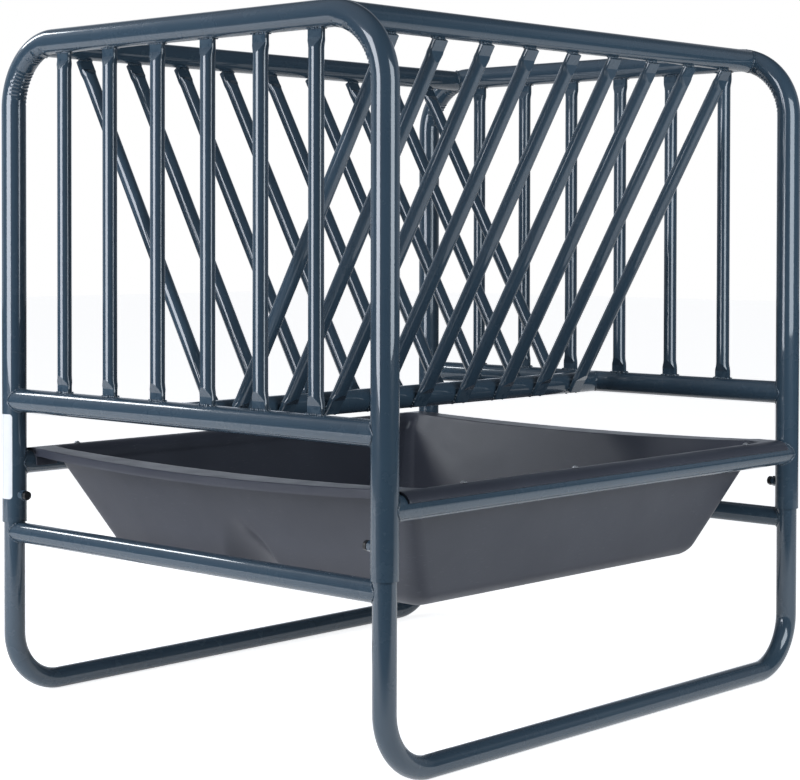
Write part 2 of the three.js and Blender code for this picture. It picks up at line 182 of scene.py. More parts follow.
class Bench:
    """The modelling bench: operators on one piece at a time, with nothing else selected."""

    @staticmethod
    def only(*pieces: Piece) -> None:
        """Selects these pieces alone, the first one active.

        Args:
            pieces: the objects to work on; none of them clears the bench.
        """
        bpy.ops.object.select_all(action="DESELECT")
        for piece in pieces:
            piece.select_set(True)
        bpy.context.view_layer.objects.active = pieces[0] if pieces else None

    @staticmethod
    def settle(name: str) -> Piece:
        """Names the new primitive and moves its place into its mesh.

        Args:
            name: the piece's name.

        Returns:
            The piece, at the origin and unturned.
        """
        piece = bpy.context.active_object
        piece.name = piece.data.name = name
        bpy.ops.object.transform_apply(location=True, rotation=True, scale=True)
        return piece

    @staticmethod
    def facing(normal: Vector) -> Sequence[float]:
        """The turn that points a primitive's Z along a direction."""
        return Z_AXIS.rotation_difference(normal).to_euler()

    @classmethod
    def circle(cls, name: str, centre: Vector, normal: Vector, radius: float, sides: int) -> Piece:
        """Lays an open ring of edges.

        Args:
            name: the piece's name.
            centre: the ring's centre.
            normal: the direction that the ring faces.
            radius: the ring's radius.
            sides: how many edges it has.

        Returns:
            The piece.
        """
        cls.only()
        bpy.ops.mesh.primitive_circle_add(
            vertices=sides, radius=radius, location=centre, rotation=cls.facing(normal)
        )
        return cls.settle(name)

    @classmethod
    def drum(cls, name: str, base: float, radius: float, height: float, sides: int) -> Piece:
        """Stands a closed cylinder on the Z axis.

        Args:
            name: the piece's name.
            base: the height of its base.
            radius: its radius.
            height: its own height.
            sides: how many sides it has.

        Returns:
            The piece.
        """
        cls.only()
        bpy.ops.mesh.primitive_cylinder_add(
            vertices=sides, radius=radius, depth=height, location=upright(base + height / 2)
        )
        return cls.settle(name)

    @classmethod
    def box(cls, name: str, low: Vector, high: Vector) -> Piece:
        """Lays a box between two corners.

        Args:
            name: the piece's name.
            low: the lowest corner.
            high: the highest corner.

        Returns:
            The piece.
        """
        cls.only()
        bpy.ops.mesh.primitive_cube_add(size=1, location=(low + high) / 2)
        bpy.context.active_object.scale = high - low
        return cls.settle(name)

    @classmethod
    @contextmanager
    def editing(cls, piece: Piece, whole: bool = False) -> Iterator[None]:
        """Opens a piece in edit mode, and closes it again.

        Args:
            piece: the piece.
            whole: whether all of it is selected, or nothing.
        """
        cls.only(piece)
        bpy.ops.object.mode_set(mode="EDIT")
        bpy.ops.mesh.select_mode(type="VERT")
        bpy.ops.mesh.select_all(action="SELECT" if whole else "DESELECT")
        try:
            yield
        finally:
            bpy.ops.object.mode_set(mode="OBJECT")

    @staticmethod
    def pick(piece: Piece, test: Test) -> None:
        """Selects the vertices whose place passes a test, with the edges and faces between.

        Args:
            piece: the piece in edit mode.
            test: tells for a place whether it is wanted.
        """
        bpy.ops.mesh.select_all(action="DESELECT")
        mesh = bmesh.from_edit_mesh(piece.data)
        for vertex in mesh.verts:
            vertex.select = test(vertex.co)
        mesh.select_flush(True)
        bmesh.update_edit_mesh(piece.data)

    @staticmethod
    def pick_faces(piece: Piece, normal: Vector) -> None:
        """Selects the faces that look in a direction, and works on faces from then on.

        Args:
            piece: the piece in edit mode.
            normal: the direction.
        """
        bpy.ops.mesh.select_all(action="DESELECT")
        bpy.ops.mesh.select_mode(type="FACE")
        mesh = bmesh.from_edit_mesh(piece.data)
        for face in mesh.faces:
            face.select = face.normal.dot(normal) > 0.99
        bmesh.update_edit_mesh(piece.data)

    @staticmethod
    def draw_out(offset: Vector) -> None:
        """Extrudes what is selected."""
        bpy.ops.mesh.extrude_region_move(TRANSFORM_OT_translate={"value": tuple(offset)})

    @staticmethod
    def swell(wide: float, high: float, level: float) -> None:
        """Resizes what is selected, evenly about the Z axis and along it from a level."""
        bpy.ops.transform.resize(value=(wide, wide, high), center_override=(0, 0, level))

    @classmethod
    def close_up(cls, piece: Piece) -> None:
        """Merges doubles and turns all faces outwards.

        Args:
            piece: the piece, in object mode.
        """
        with cls.editing(piece, whole=True):
            bpy.ops.mesh.remove_doubles(threshold=MERGE)
            bpy.ops.mesh.normals_make_consistent(inside=False)

    @staticmethod
    def move_all(piece: Piece, place: Place) -> None:
        """Puts every vertex of a piece where a rule says.

        Args:
            piece: the piece, in object mode.
            place: gives a vertex's new place from its old one.
        """
        for vertex in piece.data.vertices:
            vertex.co = place(vertex.co.copy())
        piece.data.update()

    @classmethod
    def finish_with(cls, piece: Piece, kind: str, **settings: object) -> None:
        """Adds a modifier and applies it.

        Args:
            piece: the piece, in object mode.
            kind: the modifier's type.
            settings: its settings by name.
        """
        cls.only(piece)
        modifier = piece.modifiers.new(kind.title(), kind)
        for name, value in settings.items():
            setattr(modifier, name, value)
        bpy.ops.object.modifier_apply(modifier=modifier.name)

    @classmethod
    def harden(cls, piece: Piece, wall: float) -> None:
        """Gives a sheet a wall on its inner side."""
        cls.finish_with(piece, "SOLIDIFY", thickness=wall, offset=-1.0, use_even_offset=True)

    @classmethod
    def ease_edges(cls, piece: Piece, width: float, segments: int, degrees: float) -> None:
        """Rounds the edges that are sharper than an angle.

        Args:
            piece: the piece, in object mode.
            width: how wide the rounding is.
            segments: how many steps it has.
            degrees: the angle.
        """
        limit = {"limit_method": "ANGLE", "angle_limit": math.radians(degrees)}
        cls.finish_with(piece, "BEVEL", width=width, segments=segments, **limit)

    @classmethod
    def cut(cls, piece: Piece, cutter: Piece, operation: str = "DIFFERENCE") -> None:
        """Cuts a piece with another one, which is then thrown away.

        Args:
            piece: the piece that stays.
            cutter: the tool.
            operation: the Boolean operation.
        """
        cls.finish_with(piece, "BOOLEAN", object=cutter, operation=operation, solver="EXACT")
        bpy.data.objects.remove(cutter)

    @classmethod
    def smooth(cls, piece: Piece, degrees: float) -> Piece:
        """Shades a piece smooth except across sharper edges.

        Args:
            piece: the piece, in object mode.
            degrees: the sharpest angle that is still smooth.

        Returns:
            The piece.
        """
        cls.only(piece)
        bpy.ops.object.shade_smooth_by_angle(angle=math.radians(degrees))
        return piece

    @classmethod
    def copy(cls, piece: Piece, name: str, matrix: Matrix) -> Piece:
        """Copies a piece with its own mesh to a new place.

        Args:
            piece: the piece to copy.
            name: the copy's name.
            matrix: where the copy goes.

        Returns:
            The copy, with its place in its mesh.
        """
        twin = piece.copy()
        twin.data = piece.data.copy()
        bpy.context.scene.collection.objects.link(twin)
        twin.name = twin.data.name = name
        twin.matrix_world = matrix
        cls.only(twin)
        bpy.ops.object.transform_apply(location=True, rotation=True, scale=True)
        return twin

    @classmethod
    def join(cls, name: str, pieces: Sequence[Piece]) -> Piece:
        """Joins pieces into one.

        Args:
            name: the whole's name.
            pieces: the parts of it.

        Returns:
            The whole.
        """
        cls.only(*pieces)
        bpy.ops.object.join()
        whole = bpy.context.view_layer.objects.active
        whole.name = whole.data.name = name
        return whole

    @classmethod
    def sheet(cls, name: str, rows: Rows) -> Piece:
        """Lays a grid and drapes it through rows of places.

        Args:
            name: the piece's name.
            rows: places in rows of one length.

        Returns:
            The draped sheet.
        """
        cls.only()
        bpy.ops.mesh.primitive_grid_add(
            x_subdivisions=len(rows[0]) - 1, y_subdivisions=len(rows) - 1, size=1
        )
        sheet = cls.settle(name)
        places = [place for row in rows for place in row]
        for vertex, place in zip(sheet.data.vertices, places, strict=True):
            vertex.co = place
        sheet.data.update()
        return sheet


class NodeWork:
    """A node tree while it is being built."""

    def __init__(self, tree: bpy.types.NodeTree) -> None:
        """Takes a tree in hand."""
        self.tree = tree

    def add(self, kind: str, **settings: object) -> bpy.types.Node:
        """Adds a node.

        Args:
            kind: the node's type.
            settings: its properties by name.

        Returns:
            The node.
        """
        node = self.tree.nodes.new(kind)
        for name, value in settings.items():
            setattr(node, name, value)
        return node

    def link(self, source: Socket, target: Socket) -> None:
        """Joins two sockets."""
        self.tree.links.new(source, target)

    def remap(self, source: Socket, window: Range, result: Range) -> Socket:
        """Maps a range of values to another one.

        Args:
            source: the value.
            window: the start and the end of its range.
            result: what they become.

        Returns:
            The mapped value, kept in its range.
        """
        node = self.add("ShaderNodeMapRange", clamp=True)
        limits = zip(("From Min", "From Max", "To Min", "To Max"), (*window, *result))
        for name, value in limits:
            node.inputs[name].default_value = value
        self.link(source, node.inputs["Value"])
        return node.outputs["Result"]

    def along(self, vector: Socket, way: Vector) -> Socket:
        """How far a vector reaches along a direction.

        Args:
            vector: the vector.
            way: the direction.

        Returns:
            Their dot product.
        """
        node = self.add("ShaderNodeVectorMath", operation="DOT_PRODUCT")
        self.link(vector, node.inputs[0])
        node.inputs[1].default_value = way
        return node.outputs["Value"]

    def combine(self, operation: str, a: Socket, b: Socket | float) -> Socket:
        """Works out a sum, product or the like.

        Args:
            operation: the Math node's operation.
            a: the first value.
            b: the second value.

        Returns:
            The result.
        """
        node = self.add("ShaderNodeMath", operation=operation)
        self.link(a, node.inputs[0])
        if isinstance(b, (int, float)):
            node.inputs[1].default_value = b
        else:
            self.link(b, node.inputs[1])
        return node.outputs["Value"]

    def times(self, a: Socket, b: Socket | float) -> Socket:
        """The product of two values."""
        return self.combine("MULTIPLY", a, b)

    def most(self, a: Socket, b: Socket) -> Socket:
        """The larger of two values."""
        return self.combine("MAXIMUM", a, b)


class Recipe(NodeWork):
    """A material while its nodes are being built."""

    def __init__(self, name: str, **constants: float) -> None:
        """Starts a material.

        Args:
            name: the finish's name.
            constants: the shader's own sockets, with an underscore for each space, and
                their values.
        """
        self.material = bpy.data.materials.new(name)
        self.material.use_nodes = True
        super().__init__(self.material.node_tree)
        self.shader = self.tree.nodes["Principled BSDF"]
        for socket, value in constants.items():
            self.shader.inputs[socket.replace("_", " ")].default_value = value
        self.coordinates = self.add("ShaderNodeTexCoord").outputs["Object"]

    def feed(self, source: Socket, name: str) -> None:
        """Leads a value into one of the shader's sockets."""
        self.link(source, self.shader.inputs[name])

    def upward(self, factor: float) -> Socket:
        """Object coordinates scaled along Z alone.

        Args:
            factor: the scale along Z.

        Returns:
            The scaled coordinates.
        """
        mapping = self.add("ShaderNodeMapping")
        mapping.inputs["Scale"].default_value = (1, 1, factor)
        self.link(self.coordinates, mapping.inputs["Vector"])
        return mapping.outputs["Vector"]

    def noise(
        self, scale: float, detail: float = 2.0, rough: float = 0.5, over: Socket | None = None
    ) -> Socket:
        """A cloud of noise.

        Args:
            scale: spots in each metre.
            detail: how many finer layers it has.
            rough: how strong these are.
            over: coordinates other than the object's own.

        Returns:
            The noise value.
        """
        node = self.add("ShaderNodeTexNoise")
        for name, value in zip(("Scale", "Detail", "Roughness"), (scale, detail, rough)):
            node.inputs[name].default_value = value
        self.link(over or self.coordinates, node.inputs["Vector"])
        return node.outputs["Fac"]

    def tint(self, share: Socket, low: Colour, high: Colour) -> Socket:
        """Runs between two colours.

        Args:
            share: from 0 to 1.
            low: the colour at 0.
            high: the colour at 1.

        Returns:
            The colour.
        """
        ramp = self.add("ShaderNodeValToRGB")
        for stop, colour in zip(ramp.color_ramp.elements, (low, high)):
            stop.color = (*colour, 1)
        self.link(share, ramp.inputs["Fac"])
        return ramp.outputs["Color"]

    def cover(self, share: Socket, under: Socket, colour: Colour) -> Socket:
        """Lays a colour over another one.

        Args:
            share: how much of it shows, from 0 to 1.
            under: the colour beneath.
            colour: the colour on top.

        Returns:
            The mixed colour.
        """
        mix = self.add("ShaderNodeMix", data_type="RGBA")
        self.link(share, mix.inputs["Factor"])
        self.link(under, mix.inputs["A"])
        mix.inputs["B"].default_value = (*colour, 1)
        return mix.outputs["Result"]

    def bump(self, height: Socket, distance: float, strength: float) -> None:
        """Raises the surface by a height value, on top of earlier bumps.

        Args:
            height: the height, from 0 to 1.
            distance: what a height of 1 is in metres.
            strength: how much of it shows.
        """
        node = self.add("ShaderNodeBump")
        node.inputs["Strength"].default_value = strength
        node.inputs["Distance"].default_value = distance
        self.link(height, node.inputs["Height"])
        normal = self.shader.inputs["Normal"]
        if normal.is_linked:
            self.link(normal.links[0].from_socket, node.inputs["Normal"])
        self.link(node.outputs["Normal"], normal)

    def edge_patches(self, scale: float, window: Range, result: Range) -> Socket:
        """Where edges stick out, in patches: wear, and on the paint also a painted highlight on
        weld beads and pinched edges.

        Args:
            scale: patches in each metre.
            window: the range of noise that the patches come from.
            result: how strongly the marked edges show.

        Returns:
            The edge mask, from 0 to 1.
        """
        pointed = self.add("ShaderNodeNewGeometry").outputs["Pointiness"]
        edge = self.remap(pointed, (0.57, 0.66), (0, 1))
        return self.times(edge, self.remap(self.noise(scale, 3.0), window, result))


@dataclass(frozen=True)
class PowderCoat:
    """Glossy stoved powder paint: slight orange peel, faint clouding, fine dust, and paler edges
    that are partly wear and partly painted highlight.
    """

    low: Colour = (0.036, 0.062, 0.089)
    high: Colour = (0.039, 0.067, 0.095)
    # Paler colour for the dust flecks and for the edges that stick out, which are partly wear and
    # partly painted highlight.
    pale_marks: Colour = (0.065, 0.100, 0.130)
    gloss: Range = (0.22, 0.30)

    def material(self) -> bpy.types.Material:
        """The paint as a material.

        Returns:
            The material.
        """
        coat = {"Coat_Weight": 1.0, "Coat_Roughness": 0.04, "Coat_IOR": 1.6}
        recipe = Recipe("powder_coat", IOR=1.5, Specular_IOR_Level=0.2, **coat)
        clouds = recipe.remap(recipe.noise(7.0, 4.0, 0.6), (0.3, 0.7), (0, 1))
        paint = recipe.tint(clouds, self.low, self.high)
        dust = recipe.remap(recipe.noise(900.0), (0.72, 0.80), (0, 0.2))
        paint = recipe.cover(dust, paint, self.pale_marks)
        # Paler paint on edges that stick out: partly wear, partly a painted highlight on weld beads
        # and pinched edges.
        edge_patches = recipe.edge_patches(60.0, (0.45, 0.65), (0, 0.55))
        recipe.feed(recipe.cover(edge_patches, paint, self.pale_marks), "Base Color")
        gloss = recipe.remap(recipe.noise(18.0, 5.0, 0.6), (0.3, 0.7), self.gloss)
        recipe.feed(recipe.combine("ADD", gloss, recipe.times(edge_patches, 0.2)), "Roughness")
        recipe.bump(recipe.noise(260.0), distance=0.0002, strength=0.05)
        recipe.bump(recipe.noise(30.0), distance=0.0008, strength=0.012)
        return recipe.material


@dataclass(frozen=True)
class MouldedPlastic:
    """Satin moulded polyethylene: fine grain, slow waviness, pale rubs and a few scratches."""

    low: Colour = (0.036, 0.039, 0.052)
    high: Colour = (0.043, 0.047, 0.062)
    pale_marks: Colour = (0.160, 0.168, 0.190)
    gloss: Range = (0.30, 0.42)

    def material(self) -> bpy.types.Material:
        """The plastic as a material.

        Returns:
            The material.
        """
        recipe = Recipe("moulded_plastic", IOR=1.5)
        clouds = recipe.noise(5.0, 5.0, 0.6)
        colour = recipe.tint(recipe.remap(clouds, (0.3, 0.7), (0, 1)), self.low, self.high)
        scratch = recipe.noise(60.0, 3.0, 0.6, recipe.upward(9.0))
        rubs = recipe.times(
            recipe.remap(scratch, (0.62, 0.74), (0, 0.4)), recipe.remap(clouds, (0.45, 0.6), (0, 1))
        )
        colour = recipe.cover(rubs, colour, self.pale_marks)
        edge_patches = recipe.edge_patches(40.0, (0.4, 0.6), (0.1, 0.5))
        recipe.feed(recipe.cover(edge_patches, colour, self.pale_marks), "Base Color")
        gloss = recipe.remap(recipe.noise(12.0, 5.0, 0.65), (0.3, 0.7), self.gloss)
        recipe.feed(recipe.combine("ADD", gloss, recipe.times(rubs, 0.3)), "Roughness")
        recipe.bump(recipe.noise(1400.0), distance=0.0002, strength=0.25)
        recipe.bump(recipe.noise(9.0), distance=0.004, strength=0.12)
        return recipe.material


@dataclass(frozen=True)
class BlackedSteel:
    """Blackened bolt steel: oily black with brown-grey scuffed edges."""

    low: Colour = (0.012, 0.014, 0.016)
    high: Colour = (0.030, 0.031, 0.033)
    pale_marks: Colour = (0.14, 0.13, 0.12)
    gloss: Range = (0.3, 0.5)

    def material(self) -> bpy.types.Material:
        """The blackened steel as a material.

        Returns:
            The material.
        """
        coat = {"Coat_Weight": 0.3, "Coat_Roughness": 0.2}
        recipe = Recipe("blacked_steel", Metallic=0.6, IOR=1.6, **coat)
        colour = recipe.tint(recipe.noise(160.0, 4.0, 0.6), self.low, self.high)
        edge_patches = recipe.edge_patches(300.0, (0.4, 0.6), (0.1, 0.8))
        recipe.feed(recipe.cover(edge_patches, colour, self.pale_marks), "Base Color")
        recipe.feed(recipe.remap(recipe.noise(220.0, 4.0), (0.3, 0.7), self.gloss), "Roughness")
        recipe.bump(recipe.noise(900.0, 3.0, 0.6), distance=0.0002, strength=0.3)
        return recipe.material


@dataclass(frozen=True)
class ZincPlate:
    """Bright zinc plating: cool grey with fine turning marks and dull patches."""

    low: Colour = (0.42, 0.43, 0.45)
    high: Colour = (0.62, 0.63, 0.64)
    gloss: Range = (0.22, 0.42)

    def material(self) -> bpy.types.Material:
        """The plating as a material.

        Returns:
            The material.
        """
        recipe = Recipe("zinc_plate", Metallic=0.9, IOR=1.5)
        recipe.feed(recipe.tint(recipe.noise(260.0, 4.0, 0.6), self.low, self.high), "Base Color")
        recipe.feed(recipe.remap(recipe.noise(180.0, 4.0), (0.3, 0.7), self.gloss), "Roughness")
        turned = recipe.noise(700.0, 2.0, 0.5, recipe.upward(8.0))
        recipe.bump(turned, distance=0.0001, strength=0.2)
        return recipe.material


@dataclass(frozen=True)
class PaleVinyl:
    """Plain self-adhesive vinyl: off-white, faintly mottled, with a few grubby specks."""

    low: Colour = (0.70, 0.71, 0.72)
    high: Colour = (0.80, 0.81, 0.81)
    grubby: Colour = (0.50, 0.50, 0.48)
    gloss: Range = (0.3, 0.42)

    def material(self) -> bpy.types.Material:
        """The vinyl as a material.

        Returns:
            The material.
        """
        recipe = Recipe("pale_vinyl", IOR=1.45, Coat_Weight=0.2, Coat_Roughness=0.15)
        colour = recipe.tint(recipe.noise(40.0, 4.0, 0.6), self.low, self.high)
        specks = recipe.remap(recipe.noise(500.0), (0.66, 0.75), (0, 0.3))
        recipe.feed(recipe.cover(specks, colour, self.grubby), "Base Color")
        recipe.feed(recipe.remap(recipe.noise(90.0, 3.0), (0.3, 0.7), self.gloss), "Roughness")
        recipe.bump(recipe.noise(150.0), distance=0.0003, strength=0.08)
        return recipe.material


@dataclass
class Finishes:
    """The feeder's finishes, each made once."""

    paint: bpy.types.Material = field(default_factory=lambda: PowderCoat().material())
    plastic: bpy.types.Material = field(default_factory=lambda: MouldedPlastic().material())
    bolt: bpy.types.Material = field(default_factory=lambda: BlackedSteel().material())
    zinc: bpy.types.Material = field(default_factory=lambda: ZincPlate().material())
    vinyl: bpy.types.Material = field(default_factory=lambda: PaleVinyl().material())

    def dress(
        self,
        piece: Piece,
        node: str = "",
        body: str = "frame",
        slot: Slot = Slot.PAINT,
        material: bpy.types.Material | None = None,
    ) -> None:
        """Gives a piece its finish, its body and the node that it stands for.

        Args:
            piece: the finished piece.
            node: the model's node that it replaces, if it replaces one.
            body: the body that it moves with.
            slot: its material slot in the record.
            material: a finish other than the slot's own.
        """
        usual = {
            Slot.PAINT: self.paint,
            Slot.BOLT: self.bolt,
            Slot.SCREW: self.zinc,
            Slot.PLASTIC: self.plastic,
        }
        piece.data.materials.clear()
        piece.data.materials.append(material or usual[slot])
        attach(piece, body)
        if node:
            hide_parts(node)
        LOG.info("%s: %d faces on %s", piece.name, len(piece.data.polygons), body)


@dataclass
class Tube:
    """A round tube that starts at a ring and is drawn out and bent step by step."""

    radius: float
    sides: int = 48
    wall: float = LAYOUT.tube_wall

    def start(self, name: str, centre: Vector, heading: Vector) -> Piece:
        """Lays the first ring.

        Args:
            name: the piece's name.
            centre: the ring's centre.
            heading: the way the tube will go.

        Returns:
            The piece.
        """
        self.centre, self.heading = centre.copy(), heading.normalized()
        return Bench.circle(name, centre, heading, self.radius, self.sides)

    def straight(self, length: float, cuts: int = 1) -> None:
        """Draws the selected ring straight out.

        Args:
            length: how far.
            cuts: into how many lengths.
        """
        for _ in range(cuts):
            Bench.draw_out(self.heading * (length / cuts))
        self.centre += self.heading * length

    def turn(self, toward: Vector, bend: float, steps: int) -> None:
        """Bends the selected ring through a right angle.

        Args:
            toward: the way the tube goes after it.
            bend: the bend's radius at the tube's axis.
            steps: how many lengths it has.
        """
        middle = self.centre + toward * bend
        axis = toward.cross(self.heading)
        bpy.ops.mesh.spin(steps=steps, angle=QUARTER, center=tuple(middle), axis=tuple(axis))
        self.centre = middle + self.heading * bend
        self.heading = toward.copy()

    def bow(
        self,
        piece: Piece,
        across: Vector,
        leg: float,
        run: float,
        bend: float,
        steps: int,
        run_cuts: int = 3,
    ) -> None:
        """Draws the first ring out into a U.

        Args:
            piece: the piece that the ring was laid for.
            across: the way from the first leg to the second one.
            leg: the length of each leg.
            run: the length of the straight between the bends.
            bend: the bends' radius at the tube's axis.
            steps: how many lengths a bend has.
            run_cuts: how many lengths the straight between them has.
        """
        back = -self.heading
        with Bench.editing(piece, whole=True):
            self.straight(leg, 3)
            self.turn(across, bend, steps)
            self.straight(run, run_cuts)
            self.turn(back, bend, steps)
            self.straight(leg, 3)
        Bench.close_up(piece)

    def harden(self, piece: Piece) -> None:
        """Gives the tube its wall and shades it."""
        Bench.harden(piece, self.wall)
        Bench.smooth(piece, 35)


@dataclass
class Weld:
    """Weld metal: a rippled bead round a coped rail, or tacks along a flat end."""

    bead: float = 0.0018
    segments: int = 104
    sides: int = 8
    ripples: int = 26
    ripple: float = 0.16
    waves: int = 7
    wave: float = 0.1
    edge: float = 0.0001
    spread: tuple[Range, ...] = ((0.8, 1.3), (0.8, 1.2), (0.7, 1.0))

    def ring(
        self,
        name: str,
        centre: Vector,
        away: Vector,
        post_along: Vector,
        radius: float,
        post_radius: float,
    ) -> Piece:
        """Lays a bead where a rail meets a post.

        Args:
            name: the piece's name.
            centre: where the two axes cross.
            away: the way the rail leaves the post.
            post_along: the way the post goes there.
            radius: the rail's radius.
            post_radius: the post's radius.

        Returns:
            The bead.
        """
        Bench.only()
        bpy.ops.mesh.primitive_torus_add(
            major_segments=self.segments,
            minor_segments=self.sides,
            major_radius=radius + self.bead / 4,
            minor_radius=self.bead,
            rotation=Bench.facing(away),
        )
        bead = Bench.settle(name)
        lateral = away.cross(post_along).normalized()
        rising = lateral.cross(away)

        def place(at: Vector) -> Vector:
            """Lays a place of the torus on the post's surface, swollen in ripples.

            Args:
                at: the place on the torus.

            Returns:
                Its place on the bead.
            """
            side, up, out = at.dot(lateral), at.dot(rising), at.dot(away)
            angle = math.atan2(up, side)
            core = Vector((math.cos(angle), math.sin(angle))) * radius
            swell = 1 + self.ripple * math.sin(angle * self.ripples)
            swell += self.wave * math.sin(angle * self.waves + 1)
            off = (Vector((side, up)) - core) * swell
            stand = saddle(post_radius, core.x) + self.bead / 5
            reach = post_radius - self.edge
            flush = clamp(core.x + off.x, -reach, reach)
            raised = rising * (core.y + off.y)
            return centre + lateral * flush + raised + away * (stand + out * swell)

        Bench.move_all(bead, place)
        return Bench.smooth(bead, 60)

    def tacks(self, name: str, places: Tacks, seed: int) -> Piece:
        """Drops rounded blobs of weld metal.

        Args:
            name: the piece's name.
            places: each blob's place and radius.
            seed: fixes the small differences between blobs.

        Returns:
            The blobs as one piece.
        """
        pick = random.Random(seed)
        Bench.only()
        bpy.ops.mesh.primitive_uv_sphere_add(segments=8, ring_count=5, radius=1)
        blob = Bench.settle(name)
        with Bench.editing(blob):
            Bench.pick(blob, lambda at: at.z < -0.5)
            Bench.swell(wide=1.3, high=0.4, level=0)
        Bench.smooth(blob, 60)
        copies = []
        for i, (at, size) in enumerate(places):
            scale = Matrix.Diagonal([*(size * pick.uniform(*limits) for limits in self.spread), 1])
            turn = Matrix.Rotation(pick.uniform(0, math.tau), 4, "Z")
            copies.append(Bench.copy(blob, f"{name}_{i}", Matrix.Translation(at) @ turn @ scale))
        bpy.data.objects.remove(blob)
        return Bench.join(name, copies)


@dataclass
class Hoops:
    """The two inverted U's of bent tube, whose posts end as sleeves."""

    finishes: Finishes
    bend_steps: int = 46
    wrinkle: float = 0.0021
    least_wrinkle: float = 0.35
    inner_lead: float = 0.15
    inner_span: float = 0.7
    fade: float = 7

    def build(self) -> None:
        """Models one hoop and sets it at each end."""
        hoop = self.model()
        for end in End:
            place = Matrix.Translation((end.value * LAYOUT.half_x, 0, 0))
            node = f"hoop_{end.label}"
            self.finishes.dress(Bench.copy(hoop, f"{node}_tube", place), node)
        bpy.data.objects.remove(hoop)

    def model(self) -> Piece:
        """Bends one hoop in the plane x = 0 and presses its bends' inner sides into ripples.

        Returns:
            The hoop.
        """
        tube = Tube(LAYOUT.hoop_radius - LAYOUT.sticker_lift)
        hoop = tube.start("hoop", Vector((0, -LAYOUT.half_y, LAYOUT.sleeve_end)), Z_AXIS)
        rise = LAYOUT.hoop_top - LAYOUT.hoop_bend - LAYOUT.sleeve_end
        run = 2 * (LAYOUT.half_y - LAYOUT.hoop_bend)
        tube.bow(hoop, Y_AXIS, rise, run, LAYOUT.hoop_bend, self.bend_steps)
        self.press(hoop)
        tube.harden(hoop)
        return hoop

    def press(self, hoop: Piece) -> None:
        """Sinks every second ring of the bends on their inner side.

        Args:
            hoop: the hoop, still without a wall.
        """
        group = hoop.vertex_groups.new(name="ripples")
        middle_z = LAYOUT.hoop_top - LAYOUT.hoop_bend
        middle_y = LAYOUT.half_y - LAYOUT.hoop_bend
        for vertex in hoop.data.vertices:
            y, z = abs(vertex.co.y) - middle_y, vertex.co.z - middle_z
            if y < NIL or z < NIL:
                continue
            turn = math.atan2(z, y) / QUARTER
            ring = round(turn * self.bend_steps)
            depth = (LAYOUT.hoop_bend - math.hypot(y, z)) / LAYOUT.hoop_radius
            inner = clamp((depth + self.inner_lead) / self.inner_span)
            pick = random.Random(ring * 7 + (vertex.co.y > 0))
            swell = pick.uniform(self.least_wrinkle, 1.0)
            share = (ring % 2) * inner * swell * ease(min(turn, 1 - turn) * self.fade)
            if share > 0:
                group.add([vertex.index], share, "REPLACE")
        Bench.finish_with(
            hoop, "DISPLACE", strength=-self.wrinkle, mid_level=0.0, vertex_group="ripples"
        )


@dataclass
class Rails:
    """The straight rails of the frame, coped to the tubes that they meet, with their welds."""

    finishes: Finishes

    def build(self) -> None:
        """Models every rail of the sliding frame."""
        half_x, half_y = LAYOUT.half_x, LAYOUT.half_y
        lean = math.asin((LAYOUT.hoop_bend - (half_y - LAYOUT.top_rail_y)) / LAYOUT.hoop_bend)
        for end in End:
            centre = Vector((end.value * half_x, 0, LAYOUT.cross_rail_z))
            self.rail(f"cross_rail_{end.label}", centre, Y_AXIS, half_y, Z_AXIS)
        for side in Side:
            top = Vector((0, side.value * LAYOUT.top_rail_y, LAYOUT.top_rail_z))
            along = Vector((0, math.cos(lean), -side.value * math.sin(lean)))
            self.rail(f"top_rail_{side.label}", top, X_AXIS, half_x, along)
            low = Vector((0, side.value * half_y, LAYOUT.trough_rail_z))
            self.rail(f"trough_rail_{side.label}", low, X_AXIS, half_x, Z_AXIS)
        middle = upright(LAYOUT.cross_rail_z)
        self.rail("v_rail", middle, X_AXIS, half_x, Y_AXIS, post_radius=LAYOUT.rail_radius)

    def rail(
        self,
        node: str,
        centre: Vector,
        along: Vector,
        reach: float,
        post_along: Vector,
        radius: float = LAYOUT.rail_radius,
        post_radius: float = LAYOUT.hoop_radius,
        body: str = "frame",
    ) -> None:
        """Draws a rail between two posts, shapes its ends to them and welds it.

        Args:
            node: the node that it replaces.
            centre: the rail's middle.
            along: the way it runs.
            reach: from its middle to the posts' axes.
            post_along: the way the posts go where they meet it.
            radius: its radius.
            post_radius: the posts' radius.
            body: the body that it moves with.
        """
        tube = Tube(radius)
        rail = tube.start(f"{node}_tube", centre - along * reach, along)
        with Bench.editing(rail, whole=True):
            tube.straight(2 * reach, 4)
        Bench.close_up(rail)
        lateral = along.cross(post_along).normalized()

        def cope(at: Vector) -> Vector:
            """Draws the end rings back to the posts' surfaces.

            Args:
                at: a place on the rail.

            Returns:
                The place, moved if it is at an end.
            """
            out = (at - centre).dot(along)
            if abs(abs(out) - reach) > NIL:
                return at
            back = saddle(post_radius, (at - centre).dot(lateral)) + LAYOUT.fit_gap / 2
            return at - along * math.copysign(back, out)

        Bench.move_all(rail, cope)
        Bench.close_up(rail)
        tube.harden(rail)
        self.finishes.dress(rail, node, body)
        beads = []
        for i, sign in enumerate((-1, 1)):
            end = centre + along * (sign * reach)
            sizes = (radius, post_radius)
            beads.append(Weld().ring(f"{node}_weld_{i}", end, along * -sign, post_along, *sizes))
        self.finishes.dress(Bench.join(f"{node}_welds", beads), body=body)


